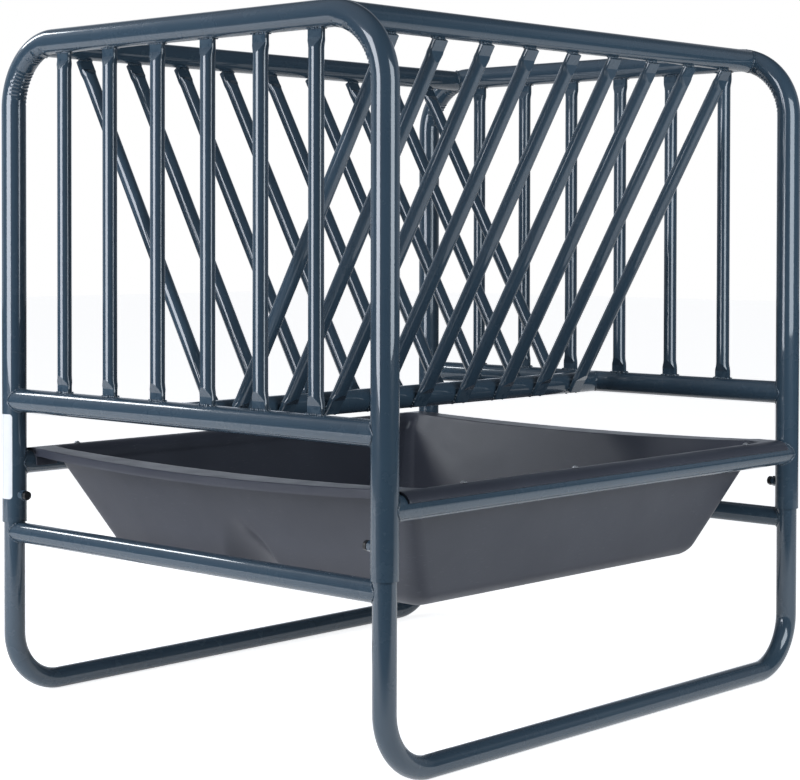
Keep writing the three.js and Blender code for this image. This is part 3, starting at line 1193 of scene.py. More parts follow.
@dataclass
class Rack:
    """The upright end bars and the slanting rack bars, all with pinched ends."""

    finishes: Finishes
    radius: float = 0.0127
    sides: int = 32
    flat_wide: float = 0.032
    flat_thin: float = 0.009
    end_flat: float = 0.013
    rack_flat: float = 0.019
    pinch: float = 0.017
    lap: float = 0.026
    overrun: float = 0.003
    set_out: float = 0.0172
    end_count: int = 6
    end_pitch: float = 0.127
    rack_count: int = 9
    rack_pitch: float = 0.1175
    press_size: float = 0.03
    press_past: float = 0.01
    press_room: float = 0.0001
    press_lift: float = 0.0002
    tack_steps: int = 3
    tack_stray: float = 0.05
    tack_stand: float = 0.52
    tack_sizes: Range = (0.0022, 0.0034)
    tack_drop: float = 0.0006
    head_reach: float = 0.42
    foot_tack: float = 0.0021
    foot_tack_low: float = 0.010
    foot_tack_pitch: float = 0.0065
    foot_tack_stand: float = 0.42

    def build(self) -> None:
        """Models one bar of each kind and sets out the copies with their weld tacks."""
        gap = LAYOUT.fit_gap
        bottom = LAYOUT.hoop_top - LAYOUT.cross_rail_z - LAYOUT.rail_radius - gap
        flats = (self.end_flat, self.end_flat)
        self.set_out_end_bars(self.bar("end_bar", LAYOUT.hoop_radius + gap, bottom, *flats))
        offset = LAYOUT.rail_radius + gap + self.flat_thin / 2
        angle, length = LAYOUT.rake(offset, self.set_out)
        top = saddle(LAYOUT.rail_radius, self.set_out - self.flat_thin / 2) + gap
        flats = (self.rack_flat, self.lap + self.overrun)
        bar = self.bar("rack_bar", top, length + self.overrun, *flats)
        self.set_out_rack_bars(bar, angle, top, length)

    def bar(
        self, name: str, top: float, bottom: float, upper_flat: float, lower_flat: float
    ) -> Piece:
        """Draws a bar downwards from the origin, widens its ends and presses them flat.

        Args:
            name: the bar's name.
            top: where it starts below the origin.
            bottom: where it ends.
            upper_flat: the length of its upper flat.
            lower_flat: the length of its lower flat.

        Returns:
            The bar.
        """
        tube = Tube(self.radius, self.sides)
        bar = tube.start(name, upright(-top), -Z_AXIS)
        upper_end = top + upper_flat
        lower_end = bottom - lower_flat
        body = lower_end - upper_end - 2 * self.pinch
        lengths = (upper_flat, self.pinch, body, self.pinch, lower_flat)
        with Bench.editing(bar, whole=True):
            for length, cuts in zip(lengths, (1, 3, 4, 3, 1)):
                tube.straight(length, cuts)
        widen = self.flat_wide / 2 / self.radius

        def spread(at: Vector) -> Vector:
            """Widens the bar towards its flats.

            Args:
                at: a place on the round bar.

            Returns:
                Its place on the widened one.
            """
            upper = 1 - (-at.z - upper_end) / self.pinch
            share = max(upper, 1 - (lower_end + at.z) / self.pinch, 0)
            return Vector((at.x * lerp(1, widen, ease(min(share, 1))), at.y, at.z))

        Bench.move_all(bar, spread)
        with Bench.editing(bar):
            for z in (-top, -bottom):
                Bench.pick(bar, lambda at, z=z: abs(at.z - z) < NIL)
                bpy.ops.mesh.edge_face_add()
        Bench.close_up(bar)
        for sign in (-1, 1):
            for end, start in ((-top, -upper_end), (-bottom, -lower_end)):
                Bench.cut(bar, self.press(f"{name}_press", end, start, sign))
        return Bench.smooth(bar, 14)

    def press(self, name: str, end: float, start: float, sign: int) -> Piece:
        """Makes the wedge that presses one face of a bar's end.

        Args:
            name: the tool's name.
            end: height of the bar's end.
            start: height where its flat starts.
            sign: which face, along Y.

        Returns:
            The wedge.
        """
        size, inner = self.press_size, self.flat_thin / 2
        way = math.copysign(1, start - end)
        levels = sorted((end - way * self.press_past, start))
        faces = sorted((sign * inner, sign * size))
        low, high = Vector((-size, faces[0], levels[0])), Vector((size, faces[1], levels[1]))
        wedge = Bench.box(name, low, high)
        tip = start + way * self.pinch
        with Bench.editing(wedge):
            Bench.pick_faces(wedge, Z_AXIS * way)
            Bench.draw_out(Z_AXIS * (way * self.pinch))
            bpy.ops.mesh.select_mode(type="VERT")
            reach = inner + self.press_room
            Bench.pick(wedge, lambda at: abs(at.z - tip) < NIL and abs(at.y) < reach)
            rise = self.radius - inner + self.press_lift
            bpy.ops.transform.translate(value=(0, sign * rise, 0))
        Bench.close_up(wedge)
        return wedge

    def set_out_end_bars(self, bar: Piece) -> None:
        """Sets the upright bars between each hoop and its cross rail.

        Args:
            bar: the bar to copy, which is then thrown away.
        """
        low = LAYOUT.cross_rail_z + LAYOUT.rail_radius
        high = LAYOUT.hoop_top - LAYOUT.hoop_radius
        for end in End:
            x = end.value * LAYOUT.half_x
            tacks: Tacks = []
            for i in range(self.end_count):
                y = (i - (self.end_count - 1) / 2) * self.end_pitch
                place = Matrix.Translation((x, y, LAYOUT.hoop_top))
                node = f"end_bar_{end.label}{i + 1}"
                twin = Bench.copy(bar, f"{node}_tube", place @ Matrix.Rotation(QUARTER, 4, "Z"))
                self.finishes.dress(twin, node)
                for z in (low, high):
                    tacks += self.row(Vector((x, y, z)), Y_AXIS, X_AXIS, i)
            welds = Weld().tacks(f"end_bar_welds_{end.label}", tacks, 11 + end.value)
            self.finishes.dress(welds)
        bpy.data.objects.remove(bar)

    def set_out_rack_bars(self, bar: Piece, angle: float, top: float, length: float) -> None:
        """Sets the slanting bars from the top rails' lower faces to the V rail's outer faces.

        Args:
            bar: the bar to copy, which is then thrown away.
            angle: the bars' slope.
            top: how far below the rail's axis a bar starts.
            length: from the top rail's axis to the foot of the V rail's axis on the bar.
        """
        for side in Side:
            tilt = Matrix.Rotation(side.value * (angle - QUARTER), 4, "X")
            out = (tilt @ Vector((0, side.value, 0, 0))).to_3d()
            tacks: Tacks = []
            for i in range(self.rack_count):
                x = (i - (self.rack_count - 1) / 2) * self.rack_pitch
                rail = Vector((x, side.value * LAYOUT.top_rail_y, LAYOUT.top_rail_z))
                place = Matrix.Translation(rail) @ tilt
                place @= Matrix.Translation((0, side.value * self.set_out, 0))
                node = f"rack_bar_{side.label}{i + 1}"
                self.finishes.dress(Bench.copy(bar, f"{node}_tube", place), node)
                head = place @ upright(-top - self.tack_drop)
                tacks += self.row(head, X_AXIS, out, i, (-1,), self.head_reach)
                for sign in (-1, 1):
                    for k in range(4):
                        z = -length - self.foot_tack_low + k * self.foot_tack_pitch
                        at = place @ Vector((sign * self.flat_wide / 2, 0, z))
                        at -= out * (self.flat_thin * self.foot_tack_stand)
                        tacks.append((at, self.foot_tack))
            welds = Weld().tacks(f"rack_bar_welds_{side.label}", tacks, 17 + side.value)
            self.finishes.dress(welds)
        bpy.data.objects.remove(bar)

    def row(
        self,
        centre: Vector,
        along: Vector,
        across: Vector,
        seed: int,
        faces: Sequence[int] = (-1, 1),
        reach: float = 0.50,
    ) -> Tacks:
        """Places tacks on the faces of a flat end.

        Args:
            centre: the middle of the end.
            along: the way the flat is wide.
            across: the way it is thin.
            seed: fixes the small differences.
            faces: on which faces, by their sign across.
            reach: how far from the middle, as a share of the flat's width.

        Returns:
            Each tack's place and radius.
        """
        pick = random.Random(seed)
        steps, stray = self.tack_steps, self.tack_stray
        found = []
        for face in faces:
            for k in range(-steps, steps + 1):
                share = k / steps + pick.uniform(-stray, stray)
                off = along * (share * self.flat_wide * reach)
                at = centre + off + across * (face * self.flat_thin * self.tack_stand)
                found.append((at, pick.uniform(*self.tack_sizes)))
        return found


@dataclass
class Base:
    """The skids and the tie rails between their legs."""

    finishes: Finishes
    sides: int = 40
    bend: float = 0.100
    bend_steps: int = 28
    run_cuts: int = 4
    tie_radius: float = 0.0183
    tie_z: float = 0.3035

    def build(self) -> None:
        """Models one skid, sets it on each side, and ties the two."""
        skid = self.skid()
        for side in Side:
            place = Matrix.Translation((0, side.value * LAYOUT.half_y, 0))
            node = f"skid_{side.label}"
            self.finishes.dress(Bench.copy(skid, f"{node}_tube", place), node, "base")
        bpy.data.objects.remove(skid)
        for end in End:
            Rails(self.finishes).rail(
                f"tie_rail_{end.label}",
                Vector((end.value * LAYOUT.half_x, 0, self.tie_z)),
                Y_AXIS,
                LAYOUT.half_y,
                Z_AXIS,
                radius=self.tie_radius,
                post_radius=LAYOUT.skid_radius,
                body="base",
            )

    def skid(self) -> Piece:
        """Bends one skid in the plane y = 0.

        Returns:
            The skid.
        """
        tube = Tube(LAYOUT.skid_radius, self.sides)
        skid = tube.start("skid", Vector((-LAYOUT.half_x, 0, LAYOUT.leg_top)), -Z_AXIS)
        drop = LAYOUT.leg_top - LAYOUT.skid_radius - self.bend
        run = 2 * (LAYOUT.half_x - self.bend)
        tube.bow(skid, X_AXIS, drop, run, self.bend, self.bend_steps, self.run_cuts)
        tube.harden(skid)
        return skid


@dataclass
class SetBolts:
    """The weld nuts on the posts and the set bolts in them."""

    finishes: Finishes
    crown_wide: float = 1.001
    crown_flat: float = 0.96
    nut_flats: float = 0.017
    nut_high: float = 0.009
    dish_deep: float = 0.0009
    dish_room: float = 0.0003
    dish_high: float = 0.004
    foot_wide: float = 1.02
    foot_deep: float = 0.0022
    foot_high: float = 0.0032
    foot_round: float = 0.0012
    head_flats: float = 0.015
    head_high: float = 0.0065
    head_reach: float = 0.018
    washer: float = 0.0069
    washer_high: float = 0.0009
    washer_drop: float = 0.0007
    shank: float = 0.00475
    point: float = 0.00325
    point_high: float = 0.0018
    point_flare: float = 1.24
    core_short: float = 0.0016
    pitch: float = 0.0015
    thread_deep: float = 0.0008
    thread_short: float = 0.0012

    def build(self) -> None:
        """Models one nut and one bolt, upright, and sets them on all four posts."""
        nut, bolt = self.nut(), self.bolt()
        nut_off, bolt_off = LAYOUT.hoop_radius, LAYOUT.skid_radius + LAYOUT.fit_gap
        for end in End:
            for side in Side:
                label = f"{end.label}_{side.label}"
                turn = Matrix.Rotation(side.value * QUARTER, 4, "X")
                for stock, word, off, body, slot in (
                    (nut, "weld_nut", nut_off, "frame", Slot.PAINT),
                    (bolt, "set_bolt", bolt_off, f"set_bolt_{label}", Slot.BOLT),
                ):
                    y = side.value * (LAYOUT.half_y - off)
                    place = Matrix.Translation((end.value * LAYOUT.half_x, y, LAYOUT.nut_z))
                    node = f"{word}_{label}"
                    twin = Bench.copy(stock, f"{node}_hex", place @ turn)
                    self.finishes.dress(twin, node, body, slot)
        bpy.data.objects.remove(nut)
        bpy.data.objects.remove(bolt)

    def hexagon(self, name: str, flats: float, base: float, height: float, both: bool) -> Piece:
        """Makes a hexagonal prism whose corners are turned off.

        Args:
            name: the piece's name.
            flats: its width across flats.
            base: the height of its base.
            height: its thickness.
            both: whether its base is turned too.

        Returns:
            The piece.
        """
        corner = flats / 2 / math.cos(math.pi / 6)
        piece = Bench.drum(name, base, corner, height, 6)
        crown = Bench.drum(f"{name}_crown", base, corner * self.crown_wide, height, 48)
        with Bench.editing(crown):
            for level in (base, base + height) if both else (base + height,):
                Bench.pick(crown, lambda at, level=level: abs(at.z - level) < NIL)
                bpy.ops.mesh.bevel(offset=corner - flats / 2 * self.crown_flat, segments=1)
        Bench.cut(piece, crown, "INTERSECT")
        return piece

    def nut(self) -> Piece:
        """Makes a weld nut whose mouth is dished and whose foot sinks into its weld.

        Returns:
            The nut.
        """
        nut = self.hexagon("nut", self.nut_flats, LAYOUT.fit_gap, self.nut_high, both=True)
        mouth = self.nut_high - self.dish_deep
        dish = Bench.drum("nut_dish", mouth, self.shank + self.dish_room, self.dish_high, 32)
        Bench.cut(nut, dish)
        wide = self.nut_flats / 2 * self.foot_wide
        foot = Bench.drum("nut_foot", -self.foot_deep, wide, self.foot_high, 32)
        with Bench.editing(foot):
            Bench.pick(foot, lambda at: at.z > 0)
            bpy.ops.mesh.bevel(offset=self.foot_round, segments=3)
        return Bench.smooth(Bench.join("nut", [nut, foot]), 25)

    def bolt(self) -> Piece:
        """Makes a pointed bolt with a real helical thread under a washer-faced head.

        Returns:
            The bolt.
        """
        stand = LAYOUT.skid_radius + LAYOUT.fit_gap
        under = LAYOUT.hoop_radius + self.head_reach - stand - self.head_high
        head = self.hexagon("bolt_head", self.head_flats, under, self.head_high, both=False)
        core = Bench.circle("bolt_core", upright(0), Z_AXIS, self.point, 24)
        with Bench.editing(core, whole=True):
            bpy.ops.mesh.edge_face_add()
            Bench.draw_out(upright(self.point_high))
            Bench.swell(wide=self.point_flare, high=1, level=self.point_high)
            Bench.draw_out(upright(under - self.core_short))
        Bench.close_up(core)
        lift = under - self.washer_drop
        washer = Bench.drum("bolt_washer", lift, self.washer, self.washer_high, 40)
        thread = self.thread(self.point_high, under - self.thread_short)
        return Bench.smooth(Bench.join("bolt", [head, core, washer, thread]), 30)

    def thread(self, low: float, high: float) -> Piece:
        """Winds a V-shaped ridge up the shank.

        Args:
            low: where it starts.
            high: where it ends.

        Returns:
            The thread.
        """
        thread = Bench.circle("bolt_thread", upright(0), X_AXIS, self.pitch / 2, 3)
        root = self.shank - self.thread_deep
        profile = ((root, 0), (self.shank, self.pitch / 2), (root, self.pitch))
        for vertex, (radius, rise) in zip(thread.data.vertices, profile, strict=True):
            vertex.co = (radius, 0, low + rise)
        Bench.finish_with(
            thread,
            "SCREW",
            axis="Z",
            angle=math.tau,
            screw_offset=self.pitch,
            iterations=int((high - low) / self.pitch) - 1,
            steps=24,
            render_steps=24,
            use_merge_vertices=False,
        )
        Bench.close_up(thread)
        return thread


@dataclass
class Trough:
    """The moulded trough, which hooks over two rails."""

    finishes: Finishes
    skin: float = 0.004
    end_wall_top: float = 0.498
    flange_edge: float = 0.536
    side_face: float = 0.44435
    rim: float = LAYOUT.trough_rim
    shoulder: float = 0.4237
    floor: float = 0.243
    hook: float = 0.02565
    hook_edge_rise: float = 0.010
    end_slope: float = 0.52
    side_slope: float = 0.39
    side_ease: float = 0.01
    top_corner: float = 0.022
    floor_corner: float = 0.034
    fillet: float = 0.024
    top_round: float = 0.004
    edge_round: float = 0.0007
    bulge: float = 0.017
    sag: float = 0.010
    lip: float = 0.015
    lip_cuts: int = 3
    scoop_radius: float = 0.088
    scoop_top: float = 0.3535
    scoop_slope: float = 1.1
    scoop_blend: float = 0.007
    scoop_share: float = 0.26
    seam: float = 0.00005
    side_cuts: int = 48
    corner_cuts: int = 8
    scoop_cuts: int = 44
    beside_cuts: int = 16
    fillet_cuts: int = 8
    wall_cuts: int = 29
    quarter_cuts: int = 6
    rim_cuts: int = 4
    shelf: tuple[float, ...] = (0, 0.2, 0.45, 0.7, 0.88, 1)
    stub_start: float = 0.49
    stub_turn: Range = (80, 180)
    stub_room: float = 0.0004
    stub_skin: float = 0.0035
    stub_drop: float = 0.0058

    def build(self) -> None:
        """Models the trough."""
        self.finishes.dress(self.model(), "trough", slot=Slot.PLASTIC)

    def bow(self, y: float) -> float:
        """How far the end flange bows: 1 in the middle, 0 at the hooks."""
        return max(1 - (y / (LAYOUT.half_y - self.hook)) ** 2, 0)

    def end_x(self, z: float) -> float:
        """The inner face of an end wall at a height."""
        lean = self.end_slope * (self.rim - z)
        return self.end_wall_top - lean - self.skin * math.hypot(1, self.end_slope)

    def side_y(self, z: float) -> float:
        """The inner face of a side wall at a height.

        Args:
            z: the height.

        Returns:
            The face's distance from the middle.
        """
        below = max(self.shoulder - z, 0)
        thick = lerp(1, math.hypot(1, self.side_slope), min(below / self.side_ease, 1))
        return self.side_face - self.side_slope * below - self.skin * thick

    def corner(self, z: float) -> float:
        """The inner radius of an upright corner at a height."""
        share = clamp((self.shoulder - z) / (self.shoulder - self.floor))
        return lerp(self.top_corner, self.floor_corner, share) - self.skin

    def scoop_x(self, y: float, z: float) -> float:
        """Where the scooped channel holds back the end wall's inner face.

        Args:
            y: the place across.
            z: the height.

        Returns:
            The farthest place along X, which is endless beside the channel.
        """
        radius = self.scoop_radius + self.skin
        if abs(y) >= radius:
            return math.inf
        tilt = math.hypot(1, self.scoop_slope)
        wall = self.end_wall_top - self.end_slope * (self.rim - self.scoop_top)
        start_x = wall + self.scoop_radius / tilt
        start_z = self.scoop_top - self.scoop_radius * self.scoop_slope / tilt
        height = saddle(radius, y)
        rise = start_z + height * self.scoop_slope / tilt - z
        return start_x - height / tilt - self.scoop_slope * rise

    def columns(self) -> list[Column]:
        """The basin's columns in order round its loop.

        Returns:
            Each column as its kind, its two signs and its share along its face.
        """
        edge, beside = self.scoop_share, self.beside_cuts
        face = [lerp(-1, -edge, i / beside) for i in range(beside)]
        face += [lerp(-edge, edge, i / self.scoop_cuts) for i in range(self.scoop_cuts + 1)]
        face += [lerp(edge, 1, i / beside) for i in range(1, beside + 1)]
        turn = [i / self.corner_cuts for i in range(1, self.corner_cuts + 1)]
        side = [lerp(-1, 1, i / self.side_cuts) for i in range(1, self.side_cuts + 1)]
        loop = [("end", 1, 0, face[0])]
        for sign in (1, -1):
            loop += [("end", sign, 0, sign * share) for share in face[1:]]
            loop += [("corner", sign, sign, 1 - share) for share in turn]
            loop += [("side", 0, sign, -sign * share) for share in side]
            loop += [("corner", -sign, sign, share) for share in turn]
        return loop

    def wall_place(self, column: Column, z: float, tuck: float = 0) -> Vector:
        """A place on the basin's inner face.

        Args:
            column: the loop's column.
            z: the height.
            tuck: how far it is drawn in by the floor's edge.

        Returns:
            The place.
        """
        kind, sx, sy, share = column
        length, width = self.end_x(z) - tuck, self.side_y(z) - tuck
        radius = self.corner(z) - tuck
        if kind == "end":
            x, y = sx * length, share * (width - radius)
        elif kind == "side":
            x, y = share * (length - radius), sy * width
        else:
            angle = share * QUARTER
            x = sx * (length - radius + radius * math.sin(angle))
            y = sy * (width - radius + radius * math.cos(angle))
        held = soft_min(abs(x), self.scoop_x(y, z) - tuck, self.scoop_blend)
        return Vector((math.copysign(held, x), y, z))

    def rim_place(self, column: Column, share: float = 1) -> Vector:
        """A place between the shoulder and the top row, which climbs from sides to ends.

        Args:
            column: the loop's column.
            share: 0 at the shoulder, 1 at the top row.

        Returns:
            The place.
        """
        kind, _, _, turn = column
        top = LAYOUT.trough_rail_z
        if kind == "end":
            top = self.rim - self.sag * self.bow(self.wall_place(column, self.shoulder).y)
        elif kind == "corner":
            top = lerp(top, self.rim, ease(turn))
        return self.wall_place(column, lerp(self.shoulder, top, share))

    def basin_rows(self, loop: Sequence[Column]) -> Rows:
        """Rows of places from the floor's edge up to the rim.

        Args:
            loop: the basin's columns.

        Returns:
            The rows.
        """
        bottom, fillet = self.floor + self.skin, self.fillet - self.skin
        rows = []
        for i in range(self.fillet_cuts):
            angle = QUARTER * (1 - i / self.fillet_cuts)
            z, tuck = bottom + fillet * (1 - math.sin(angle)), fillet * (1 - math.cos(angle))
            rows.append([self.wall_place(column, z, tuck) for column in loop])
        for i in range(self.wall_cuts + 1):
            z = lerp(bottom + fillet, self.shoulder, i / self.wall_cuts)
            rows.append([self.wall_place(column, z) for column in loop])
        for i in range(1, self.rim_cuts + 1):
            rows.append([self.rim_place(column, i / self.rim_cuts) for column in loop])
        return rows

    def hook_place(self, x: float, sy: int, angle: float, radius: float) -> Vector:
        """A place on a round about a trough rail.

        Args:
            x: the place along the rail.
            sy: which rail.
            angle: from the way out, over the top.
            radius: the round's radius.

        Returns:
            The place.
        """
        y = sy * (LAYOUT.half_y + radius * math.cos(angle))
        return Vector((x, y, LAYOUT.trough_rail_z + radius * math.sin(angle)))

    def corner_patch(self, sx: int, sy: int) -> Rows:
        """Rows of places that blend a hook's inner curve into the flat end flange.

        Args:
            sx: which end.
            sy: which side.

        Returns:
            The rows.
        """
        cuts, steps = self.corner_cuts, self.quarter_cuts
        inner = [self.rim_place(("corner", sx, sy, i / cuts)) for i in range(cuts + 1)]
        start, end = inner[0], inner[-1]
        far_start = Vector((start.x, sy * LAYOUT.half_y, self.rim))
        far_end = Vector((end.x, sy * LAYOUT.half_y, self.rim))
        rows = []
        for k in range(steps + 1):
            v = k / steps
            left = self.hook_place(start.x, sy, math.pi - v * QUARTER, self.hook)
            right = end.lerp(far_end, v)
            row = []
            for i in range(cuts + 1):
                u = i / cuts
                far = far_start.lerp(far_end, u)
                ruled = inner[i].lerp(far, v) + left.lerp(right, u)
                row.append(ruled - start.lerp(end, u).lerp(far, v))
            rows.append(row)
        return rows

    def hook_line(self, sy: int, loop: Sequence[Column]) -> list[float]:
        """The places along X of a hook's columns between the corners.

        Args:
            sy: which side.
            loop: the basin's columns.

        Returns:
            The places in order.
        """
        line = [self.rim_place(c).x for c in loop if c[0] == "side" and c[2] == sy]
        line += [self.rim_place(("corner", sx, sy, 0.0)).x for sx in (-1, 1)]
        return sorted({round(x, 7) for x in line})

    def hook_rows(self, sy: int, loop: Sequence[Column]) -> Rows:
        """Rows of places over the inner quarter of a hook, between the corners.

        Args:
            sy: which side.
            loop: the basin's columns.

        Returns:
            The rows.
        """
        line, steps = self.hook_line(sy, loop), self.quarter_cuts
        angles = [math.pi - k / steps * QUARTER for k in range(steps + 1)]
        return [[self.hook_place(x, sy, angle, self.hook) for x in line] for angle in angles]

    def outer_rows(self, sy: int, loop: Sequence[Column]) -> Rows:
        """Rows of places down the outer quarter of a hook, from flange edge to flange edge.

        Args:
            sy: which side.
            loop: the basin's columns.

        Returns:
            The rows.
        """
        line, cuts, steps = self.hook_line(sy, loop), self.corner_cuts, self.quarter_cuts
        near, far = (self.rim_place(("corner", 1, sy, turn)).x for turn in (0.0, 1.0))
        beyond = [lerp(near, far, i / cuts) for i in range(1, cuts + 1)]
        beyond += [lerp(far, self.flange_edge, share) for share in self.shelf[1:]]
        line = sorted(line + [sx * x for sx in (-1, 1) for x in beyond])
        sweep = math.acos(self.hook_edge_rise / self.hook)
        angles = [QUARTER - k / steps * sweep for k in range(steps + 1)]
        return [[self.hook_place(x, sy, angle, self.hook) for x in line] for angle in angles]

    def flange_rows(self, sx: int, loop: Sequence[Column]) -> Rows:
        """Rows of places over an end flange, from the wall to its outer edge.

        Args:
            sx: which end.
            loop: the basin's columns.

        Returns:
            The rows.
        """
        inner = [self.rim_place(c) for c in loop if c[0] == "end" and c[1] == sx]
        for sy in (-1, 1):
            inner += [row[-1] for row in self.corner_patch(sx, sy)]
        unique = {round(place.y, 6): place for place in inner}
        rows = []
        for share in self.shelf:
            row = []
            for y in sorted(unique):
                at = unique[y]
                edge = self.flange_edge + self.bulge * self.bow(at.y)
                row.append(Vector((sx * lerp(abs(at.x), edge, share), at.y, at.z)))
            rows.append(row)
        return rows

    def lip_rows(self, edge: Sequence[Vector]) -> Rows:
        """Rows of places down the flange's turned-down lip.

        Args:
            edge: the flange's outer edge.

        Returns:
            The rows.
        """
        line = [at for at in edge if abs(at.y) <= self.side_face + 1e-4]
        drops = [upright(self.lip * i / self.lip_cuts) for i in range(self.lip_cuts + 1)]
        return [[at - drop for at in line] for drop in drops]

    def stub_rows(self, sx: int, sy: int) -> Rows:
        """Rows of places over the hook's inner quarter beneath the end flange.

        Args:
            sx: which end.
            sy: which side.

        Returns:
            The rows.
        """
        rows, steps, radius = [], self.quarter_cuts, self.hook - self.stub_room
        for k in range(steps + 2):
            angle = math.radians(lerp(*self.stub_turn, min(k / steps, 1)))
            drop = upright(self.stub_drop if k > steps else 0)
            line = [sx * lerp(self.stub_start, self.flange_edge, i / 3) for i in range(4)]
            rows.append([self.hook_place(x, sy, angle, radius) - drop for x in line])
        return rows

    def sheets(self) -> list[Piece]:
        """Drapes the sheets of the moulding's upper face.

        Returns:
            The sheets.
        """
        loop = self.columns()
        sheets = [Bench.sheet("trough_basin", self.basin_rows(loop))]
        for sx in (-1, 1):
            flange = self.flange_rows(sx, loop)
            sheets.append(Bench.sheet("trough_flange", flange))
            sheets.append(Bench.sheet("trough_lip", self.lip_rows(flange[-1])))
            for sy in (-1, 1):
                sheets.append(Bench.sheet("trough_corner", self.corner_patch(sx, sy)))
        for sy in (-1, 1):
            sheets.append(Bench.sheet("trough_hook", self.hook_rows(sy, loop)))
            sheets.append(Bench.sheet("trough_hook", self.outer_rows(sy, loop)))
        return sheets

    def stub(self, sx: int, sy: int) -> Piece:
        """Makes the piece of a hook's inner wall beneath the end flange.

        Args:
            sx: which end.
            sy: which side.

        Returns:
            The stub.
        """
        stub = Bench.sheet("trough_stub", self.stub_rows(sx, sy))
        middle = stub.data.polygons[len(stub.data.polygons) // 2]
        if (middle.center.y - sy * LAYOUT.half_y) * middle.normal.y < 0:
            stub.data.flip_normals()
        Bench.harden(stub, self.stub_skin)
        return stub

    def model(self) -> Piece:
        """Joins the sheets, closes the floor and gives the moulding its thickness.

        Returns:
            The trough.
        """
        trough = Bench.join("trough_moulding", self.sheets())
        with Bench.editing(trough, whole=True):
            bpy.ops.mesh.remove_doubles(threshold=self.seam)
            Bench.pick(trough, lambda at: abs(at.z - self.floor - self.skin) < MERGE)
            bpy.ops.mesh.edge_face_add()
            bpy.ops.mesh.select_all(action="SELECT")
            bpy.ops.mesh.normals_make_consistent(inside=False)
        bottom = max(trough.data.polygons, key=lambda face: face.area)
        if bottom.normal.z < 0:
            trough.data.flip_normals()
        Bench.ease_edges(trough, self.top_round, segments=3, degrees=40)
        Bench.harden(trough, self.skin)
        Bench.ease_edges(trough, self.edge_round, segments=2, degrees=65)
        stubs = [self.stub(sx, sy) for sx in (-1, 1) for sy in (-1, 1)]
        return Bench.smooth(Bench.join("trough_moulding", [trough, *stubs]), 40)


@dataclass
class TroughScrews:
    """The self-drilling screws that pin the trough's hooks to the rails."""

    finishes: Finishes
    shares: tuple[float, ...] = (-0.339, -0.086, 0.373)
    twist: float = 1.1
    head: float = 0.006
    head_profile: tuple[Range, ...] = (
        (0.006, 0.0006),
        (0.0057, 0.0010),
        (0.0047, 0.0014),
        (0.0043, 0.0022),
        (0.0036, 0.0030),
        (0.0024, 0.0036),
    )
    slot_low: float = 0.0022
    slot_high: float = 0.0050
    slot_arms: tuple[Range, ...] = ((0.0005, 0.0022), (0.0022, 0.0005))
    shank: float = 0.0024
    shank_start: float = 0.0005
    shank_long: float = 0.0108
    tip_long: float = 0.0040
    tip_wide: float = 0.1

    def build(self) -> None:
        """Models one screw and sets three along each hook."""
        screw = self.model()
        for side in Side:
            for i, share in enumerate(self.shares):
                x = -side.value * share * 2 * LAYOUT.half_x
                place = Matrix.Translation((x, side.value * LAYOUT.half_y, LAYOUT.trough_rim))
                node = f"trough_screw_{side.label}{i + 1}"
                turn = Matrix.Rotation(i * self.twist, 4, "Z")
                twin = Bench.copy(screw, f"{node}_head", place @ turn)
                self.finishes.dress(twin, node, slot=Slot.SCREW)
        bpy.data.objects.remove(screw)

    def model(self) -> Piece:
        """Makes a washer-headed screw with a crossed recess and a drill point.

        Returns:
            The screw.
        """
        radius, height = self.head, LAYOUT.fit_gap
        screw = Bench.circle("screw", upright(height), Z_AXIS, radius, 32)
        with Bench.editing(screw, whole=True):
            bpy.ops.mesh.edge_face_add()
            for next_radius, next_height in self.head_profile:
                Bench.draw_out(upright(next_height - height))
                Bench.swell(wide=next_radius / radius, high=1, level=next_height)
                radius, height = next_radius, next_height
        Bench.close_up(screw)
        for x, y in self.slot_arms:
            low, high = Vector((-x, -y, self.slot_low)), Vector((x, y, self.slot_high))
            Bench.cut(screw, Bench.box("screw_slot", low, high))
        shank = Bench.circle("screw_shank", upright(self.shank_start), -Z_AXIS, self.shank, 20)
        with Bench.editing(shank, whole=True):
            Bench.draw_out(upright(-self.shank_long))
            Bench.draw_out(upright(-self.tip_long))
            tip = self.shank_start - self.shank_long - self.tip_long
            Bench.swell(wide=self.tip_wide, high=1, level=tip)
            bpy.ops.mesh.edge_face_add()
        Bench.close_up(shank)
        return Bench.smooth(Bench.join("screw", [screw, shank]), 30)


